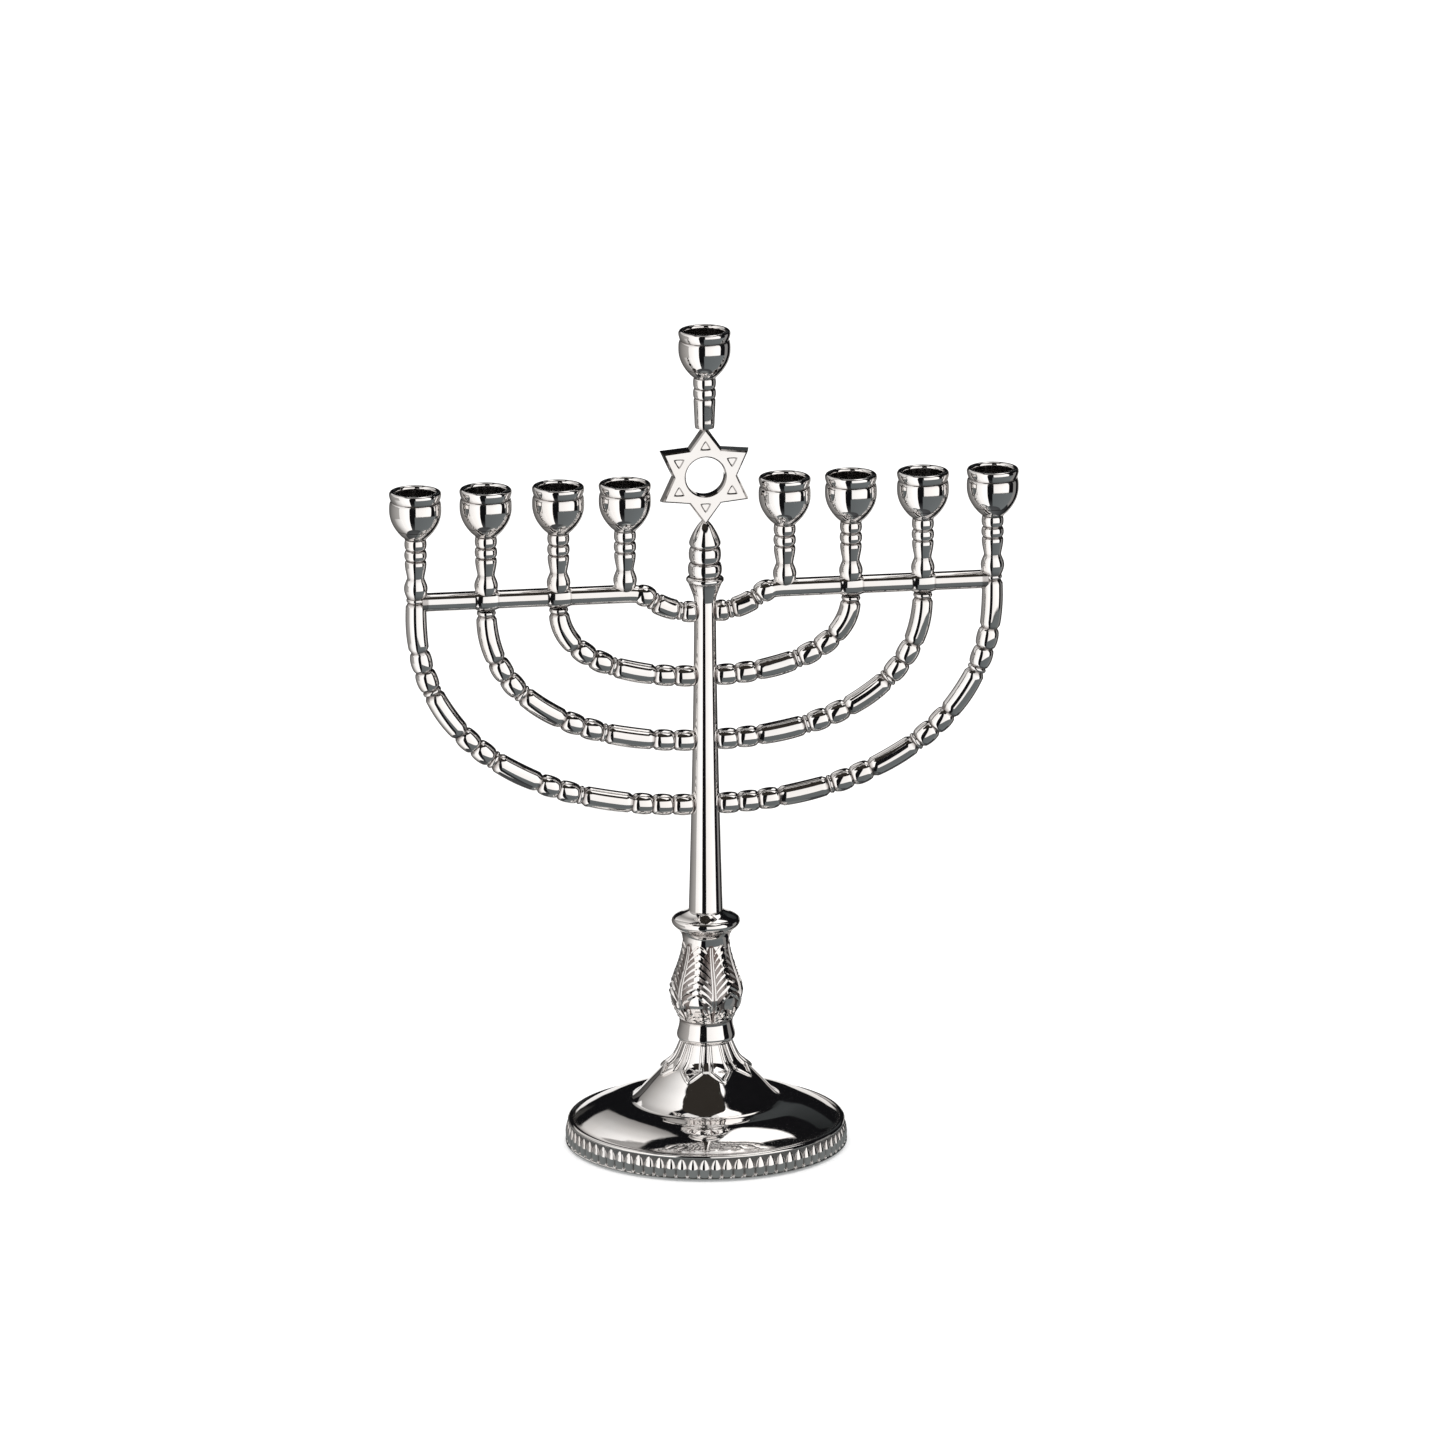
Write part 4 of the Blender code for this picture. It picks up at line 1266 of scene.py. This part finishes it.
def bar_line(sizes):
    """The crossbar: a curled elbow at arm 1, a plain rod and a knuckle under each middle riser."""
    arc_start, end_x, joint, arc = inner_arc()
    run = end_x - arc_start
    top = bar_height()
    end = Vector((end_x - 0.2 * MM, 0.0, joint + arc - math.sqrt(arc**2 - run**2)))
    start_x = middle("right_shank_1").x - 1.0 * MM
    slope = run / math.sqrt(arc**2 - run**2)
    corner = Vector((end_x + (top - end.z) / slope * 0.8, 0.0, top))
    start = Vector((start_x + 1.0 * MM, 0.0, top))
    line = []
    for share in shares(16):
        point = end * (1.0 - share) ** 2 + corner * (2.0 * share * (1.0 - share)) + start * share**2
        ball = math.sin(math.pi * min(share / 0.62, 1.0)) ** 0.55
        radius = sizes.bar * (0.93 + 0.07 * share) + 0.62 * MM * ball
        line.append((point, radius, 0.6 if share < 0.03 else 0.0))
    knuckle, half = 0.55 * MM, 3.1 * MM
    for riser in RISERS[1:-1]:
        x = middle(f"right_shank_{riser}").x
        line.append((Vector((x - half - 0.35 * MM, 0.0, top)), sizes.bar, 0.0))
        for share in shares(14):
            swell = math.sin(math.pi * share)
            edge = 0.5 if share in (0.0, 1.0) else 0.0
            line.append((Vector((x + half * (2.0 * share - 1.0), 0.0, top)), sizes.bar + knuckle * swell**0.6, edge))
        line.append((Vector((x + half + 0.35 * MM, 0.0, top)), sizes.bar, 0.0))
    end_x = middle("right_shank_4").x
    line.append((Vector((end_x - 3.4 * MM, 0.0, top)), sizes.bar, 0.0))
    line.append((Vector((end_x - 2.9 * MM, 0.0, top)), sizes.bar, 0.6))
    line.append((Vector((end_x - 1.5 * MM, 0.0, top)), sizes.bar, 0.6))
    return line


def mirrored(line, direction):
    return [(Vector((point.x * direction, point.y, point.z)), radius, tarnish_and_shade_share) for point, radius, tarnish_and_shade_share in line]


class MENORAH_OT_arms(bpy.types.Operator):
    """Casts the beaded arms in mirrored pairs"""

    bl_idname = "menorah.arms"
    bl_label = "Arms"

    def execute(self, context):
        sizes = context.scene.menorah_arms
        nickel = finish("polished_nickel")
        for number, groups in enumerate(BEADS_BY_ARM, start=1):
            path = inner_arm_path() if number == 1 else arm_path(number, sizes.squareness)
            length = rod_length(path)
            run = inner_arm_run(length, sizes) if number == 1 else arm_run(length, groups, sizes)
            points = along_path(path, [distance for distance, _, _ in run])
            line = [(point, radius, tarnish_and_shade_share) for point, (_, radius, tarnish_and_shade_share) in zip(points, run)]
            for side, direction in SIDES:
                name = f"{side}_cast_arm_{number}"
                rod = rods(name, [mirrored(line, direction)], sizes.sides, nickel)
                put(name, rod, "head", nickel, f"{side}_arm_{number}")
        return {"FINISHED"}


class MENORAH_OT_bars(bpy.types.Operator):
    """Casts the two crossbars that carry the cups"""

    bl_idname = "menorah.bars"
    bl_label = "Crossbars"

    def execute(self, context):
        sizes = context.scene.menorah_arms
        nickel = finish("polished_nickel")
        for side, direction in SIDES:
            name = f"{side}_cast_bar"
            rod = rods(name, [mirrored(bar_line(sizes), direction)], sizes.sides, nickel)
            put(name, rod, "head", nickel, f"{side}_crossbar")
        return {"FINISHED"}


# Stage.


SOFT_EDGE = 1.4  # degrees over which a softbox fades out
FRAME_WIDTH = 0.3948  # metres seen across the picture, at the column
AIM_RIGHT, AIM_UP = 0.0047, 0.1194  # where the camera looks, beside and above the foot's middle

# The softboxes that mirror in the metal: azimuth from the camera (left is negative) and elevation, in degrees,
# then brightness and colour at the window's first and last azimuth.
WARM_WHITE, GREY, SLATE, UMBER = (1.0, 0.985, 0.97), (0.96, 0.93, 0.9), (0.88, 0.97, 1.0), (1.0, 0.86, 0.72)
WINDOWS = (
    ((-168.0, -70.0), (-62.0, 12.0), (0.03, GREY), (0.5, GREY)),  # the far left wall
    ((-148.0, -54.0), (12.0, 61.0), (0.25, GREY), (1.4, WARM_WHITE)),  # high on the left
    ((-74.0, -24.0), (-66.0, 46.0), (1.0, WARM_WHITE), (1.35, WARM_WHITE)),  # left of the camera
    ((-110.0, -60.0), (-66.0, -24.0), (0.4, GREY), (1.2, WARM_WHITE)),  # low on the left
    ((-180.0, 180.0), (70.0, 92.0), (0.9, WARM_WHITE), (0.9, WARM_WHITE)),  # straight overhead
    ((-66.0, 52.0), (48.0, 88.0), (0.03, UMBER), (0.03, UMBER)),  # the ceiling over the camera
    ((-2.0, 104.0), (-68.0, -18.0), (0.15, SLATE), (0.19, SLATE)),  # the floor right of the camera
    ((3.0, 76.0), (-18.5, 45.0), (1.05, WARM_WHITE), (1.3, WARM_WHITE)),  # right of the camera
    ((101.0, 124.0), (-48.0, 14.0), (0.25, WARM_WHITE), (0.25, WARM_WHITE)),  # a strip on the far right
    ((150.0, 166.0), (-48.0, 2.0), (0.5, GREY), (0.5, GREY)),  # a strip behind
    ((168.0, 184.0), (-60.0, 3.0), (0.8, GREY), (1.0, WARM_WHITE)),  # straight behind, this side of the seam
    ((-184.0, -164.0), (-60.0, 3.0), (1.0, WARM_WHITE), (0.9, WARM_WHITE)),  # and the other side of it
    ((-167.0, -140.0), (21.0, 60.0), (0.25, GREY), (1.1, WARM_WHITE)),  # overhead, behind on the left
    ((142.0, 172.0), (46.0, 68.0), (1.4, WARM_WHITE), (1.3, WARM_WHITE)),  # overhead, behind on the right
    ((54.0, 168.0), (61.0, 80.0), (1.4, WARM_WHITE), (1.4, WARM_WHITE)),  # overhead on the right
    ((150.0, 178.0), (18.0, 32.0), (0.02, SLATE), (0.06, SLATE)),  # a wall behind
)


def tent(tree, value, limits):
    """1 where a value lies inside two limits, falling to 0 at them."""
    distance = sum_node(tree, "ABSOLUTE", sum_node(tree, "SUBTRACT", value, sum(limits) / 2.0))
    half = (limits[1] - limits[0]) / 2.0
    return spread(tree, distance, 1.0, 0.0, half - SOFT_EDGE, half)


def studio_world(azimuth, brightness):
    """White to the eye and to matt surfaces; in the metal it shows as softboxes round a dark room."""
    world = bpy.data.worlds.new("studio")
    world.use_nodes = True
    tree = world.node_tree
    tree.nodes.clear()
    out = add(tree, "ShaderNodeOutputWorld")
    rays = add(tree, "ShaderNodeLightPath")
    where = add(tree, "ShaderNodeTexCoord")
    turned_round = add(
        tree,
        "ShaderNodeVectorRotate",
        rotation_type="Z_AXIS",
        inputs={"Vector": where.outputs["Generated"], "Angle": -azimuth},
    )
    axes = add(tree, "ShaderNodeSeparateXYZ", inputs={"Vector": turned_round.outputs["Vector"]})
    towards = sum_node(tree, "MULTIPLY", axes.outputs["Y"], -1.0)
    around = sum_node(tree, "DEGREES", sum_node(tree, "ARCTAN2", axes.outputs["X"], towards))
    up = sum_node(tree, "DEGREES", sum_node(tree, "ARCSINE", axes.outputs["Z"]))
    seen = blend_colours(tree, spread(tree, up, 0.0, 1.0, -90.0, -40.0), (0.10, 0.105, 0.11), (0.006, 0.006, 0.007))
    for azimuths, elevations, first, last in WINDOWS:
        inside = sum_node(tree, "MULTIPLY", tent(tree, around, azimuths), tent(tree, up, elevations))
        ends = [tuple(level * channel for channel in colour) for level, colour in (first, last)]
        glow = blend_colours(tree, spread(tree, around, 0.0, 1.0, *azimuths), *ends)
        seen = blend_colours(tree, inside, seen, glow)
    mirrored_room = add(tree, "ShaderNodeBackground", inputs={"Color": seen, "Strength": brightness})
    plain = add(tree, "ShaderNodeBackground", inputs={"Color": (1.0, 1.0, 1.0, 1.0), "Strength": 1.06})
    mixed = add(
        tree,
        "ShaderNodeMixShader",
        inputs={0: rays.outputs["Is Glossy Ray"], 1: plain.outputs[0], 2: mirrored_room.outputs[0]},
    )
    tree.links.new(mixed.outputs[0], out.inputs["Surface"])
    return world


def staged(name, mesh, material):
    """An object that belongs to the stage and not to the menorah."""
    mesh.materials.append(material)
    item = bpy.data.objects.new(name, mesh)
    bpy.context.scene.collection.objects.link(item)
    return item


def paper_floor():
    """White paper, a hair under the felt, that is clear from below so that the foot's underside can be seen."""
    bm = bmesh.new()
    bmesh.ops.create_grid(bm, x_segments=4, y_segments=4, size=6.0)
    bmesh.ops.translate(bm, verts=bm.verts, vec=(0.0, 0.0, -0.05 * MM))
    mesh = mesh_of(bm, "paper_floor", outwards=False)
    material, tree, shader = new_material("white_paper")
    where = add(tree, "ShaderNodeTexCoord").outputs["Object"]
    grain = noise_of(tree, where, 900.0)
    set_inputs(
        shader,
        Base_Color=blend_colours(tree, spread(tree, grain, 0.0, 1.0), (0.93, 0.93, 0.93), (0.96, 0.96, 0.96)),
        Roughness=1.0,
        Specular_IOR_Level=0.0,
        Emission_Color=(1.0, 1.0, 1.0, 1.0),
        Emission_Strength=0.22,
    )
    side = add(tree, "ShaderNodeNewGeometry").outputs["Backfacing"]
    clear = add(tree, "ShaderNodeBsdfTransparent").outputs[0]
    paper = add(tree, "ShaderNodeMixShader", inputs={0: side, 1: shader.outputs[0], 2: clear})
    tree.links.new(paper.outputs[0], tree.nodes["Material Output"].inputs["Surface"])
    floor = staged("paper_floor", mesh, material)
    floor.visible_glossy = False


def floor_shade_reflection_card():
    """A glowing grey card round the foot that only mirrors: a painted reflection of the floor in shade, so that the
    rim's lower half stays grey.
    """
    bm = bmesh.new()
    bmesh.ops.create_circle(bm, cap_ends=True, segments=64, radius=0.06)
    bmesh.ops.translate(bm, verts=bm.verts, vec=(0.0, 0.0, 0.0001))
    mesh = mesh_of(bm, "floor_shade_reflection_card", outwards=False)
    material, _, shader = new_material("painted_floor_shade")
    set_inputs(
        shader,
        Base_Color=(0.0, 0.0, 0.0, 1.0),
        Specular_IOR_Level=0.0,
        Emission_Color=(0.19, 0.205, 0.205, 1.0),
        Emission_Strength=1.0,
    )
    mat = staged("floor_shade_reflection_card", mesh, material)
    mat.visible_camera = mat.visible_diffuse = mat.visible_shadow = False


class MENORAH_OT_stage(bpy.types.Operator):
    """Lays the pale floor and sets the softboxes, the surroundings and the camera"""

    bl_idname = "menorah.stage"
    bl_label = "Stage"

    def execute(self, context):
        scene = context.scene
        settings = scene.menorah_stage
        paper_floor()
        floor_shade_reflection_card()
        scene.world = studio_world(settings.azimuth, settings.softbox)
        scene.view_settings.view_transform = "Standard"
        sky = bpy.data.lights.new("overhead_softbox", "AREA")
        sky.size, sky.energy = 1.6, 3.0
        overhead = bpy.data.objects.new("overhead_softbox", sky)
        overhead.location = (0.0, 0.0, 1.8)
        overhead.visible_glossy = False
        scene.collection.objects.link(overhead)
        camera_data = bpy.data.cameras.new("camera")
        camera_data.sensor_width = 36.0
        camera_data.lens = camera_data.sensor_width * settings.distance / FRAME_WIDTH
        camera_data.clip_start, camera_data.clip_end = 0.05, 50.0
        camera = bpy.data.objects.new("camera", camera_data)
        scene.collection.objects.link(camera)
        back = Vector(
            (
                math.sin(settings.azimuth) * math.cos(settings.elevation),
                -math.cos(settings.azimuth) * math.cos(settings.elevation),
                math.sin(settings.elevation),
            )
        )
        right = Vector((math.cos(settings.azimuth), math.sin(settings.azimuth), 0.0))
        target = right * AIM_RIGHT + Vector((0.0, 0.0, AIM_UP))
        camera.location = target + back * settings.distance
        aim = (-back).to_track_quat("-Z", "Y")
        camera.rotation_euler = (aim.to_matrix() @ Matrix.Rotation(settings.roll, 3, "Z")).to_euler()
        scene.camera = camera
        return {"FINISHED"}


OPERATORS = (
    MENORAH_OT_foot,
    MENORAH_OT_rim,
    MENORAH_OT_petals,
    MENORAH_OT_underside,
    MENORAH_OT_baluster,
    MENORAH_OT_leaves,
    MENORAH_OT_stem,
    MENORAH_OT_star,
    MENORAH_OT_cups,
    MENORAH_OT_shanks,
    MENORAH_OT_arms,
    MENORAH_OT_bars,
    MENORAH_OT_stage,
)


class MENORAH_PT_panel(bpy.types.Panel):
    """The menorah's pieces and their sizes"""

    bl_label = "Menorah"
    bl_idname = "MENORAH_PT_panel"
    bl_space_type = "VIEW_3D"
    bl_region_type = "UI"
    bl_category = "Menorah"

    def draw(self, context):
        for operator in OPERATORS:
            self.layout.operator(operator.bl_idname)
        for name, group in GROUPS:
            box = self.layout.box()
            for key in group.__annotations__:
                box.prop(getattr(context.scene, name), key)


def register():
    for _, group in GROUPS:
        bpy.utils.register_class(group)
    for operator in OPERATORS:
        bpy.utils.register_class(operator)
    bpy.utils.register_class(MENORAH_PT_panel)
    for name, group in GROUPS:
        setattr(bpy.types.Scene, name, bpy.props.PointerProperty(type=group))


def unregister():
    for name, _ in GROUPS:
        delattr(bpy.types.Scene, name)
    bpy.utils.unregister_class(MENORAH_PT_panel)
    for operator in reversed(OPERATORS):
        bpy.utils.unregister_class(operator)
    for _, group in reversed(GROUPS):
        bpy.utils.unregister_class(group)


def main():
    register()
    bpy.ops.menorah.foot()
    bpy.ops.menorah.rim()
    bpy.ops.menorah.petals()
    bpy.ops.menorah.underside()
    bpy.ops.menorah.baluster()
    bpy.ops.menorah.leaves()
    bpy.ops.menorah.stem()
    bpy.ops.menorah.star()
    bpy.ops.menorah.cups()
    bpy.ops.menorah.shanks()
    bpy.ops.menorah.arms()
    bpy.ops.menorah.bars()
    bpy.ops.menorah.stage()


if __name__ == "__main__":
    main()
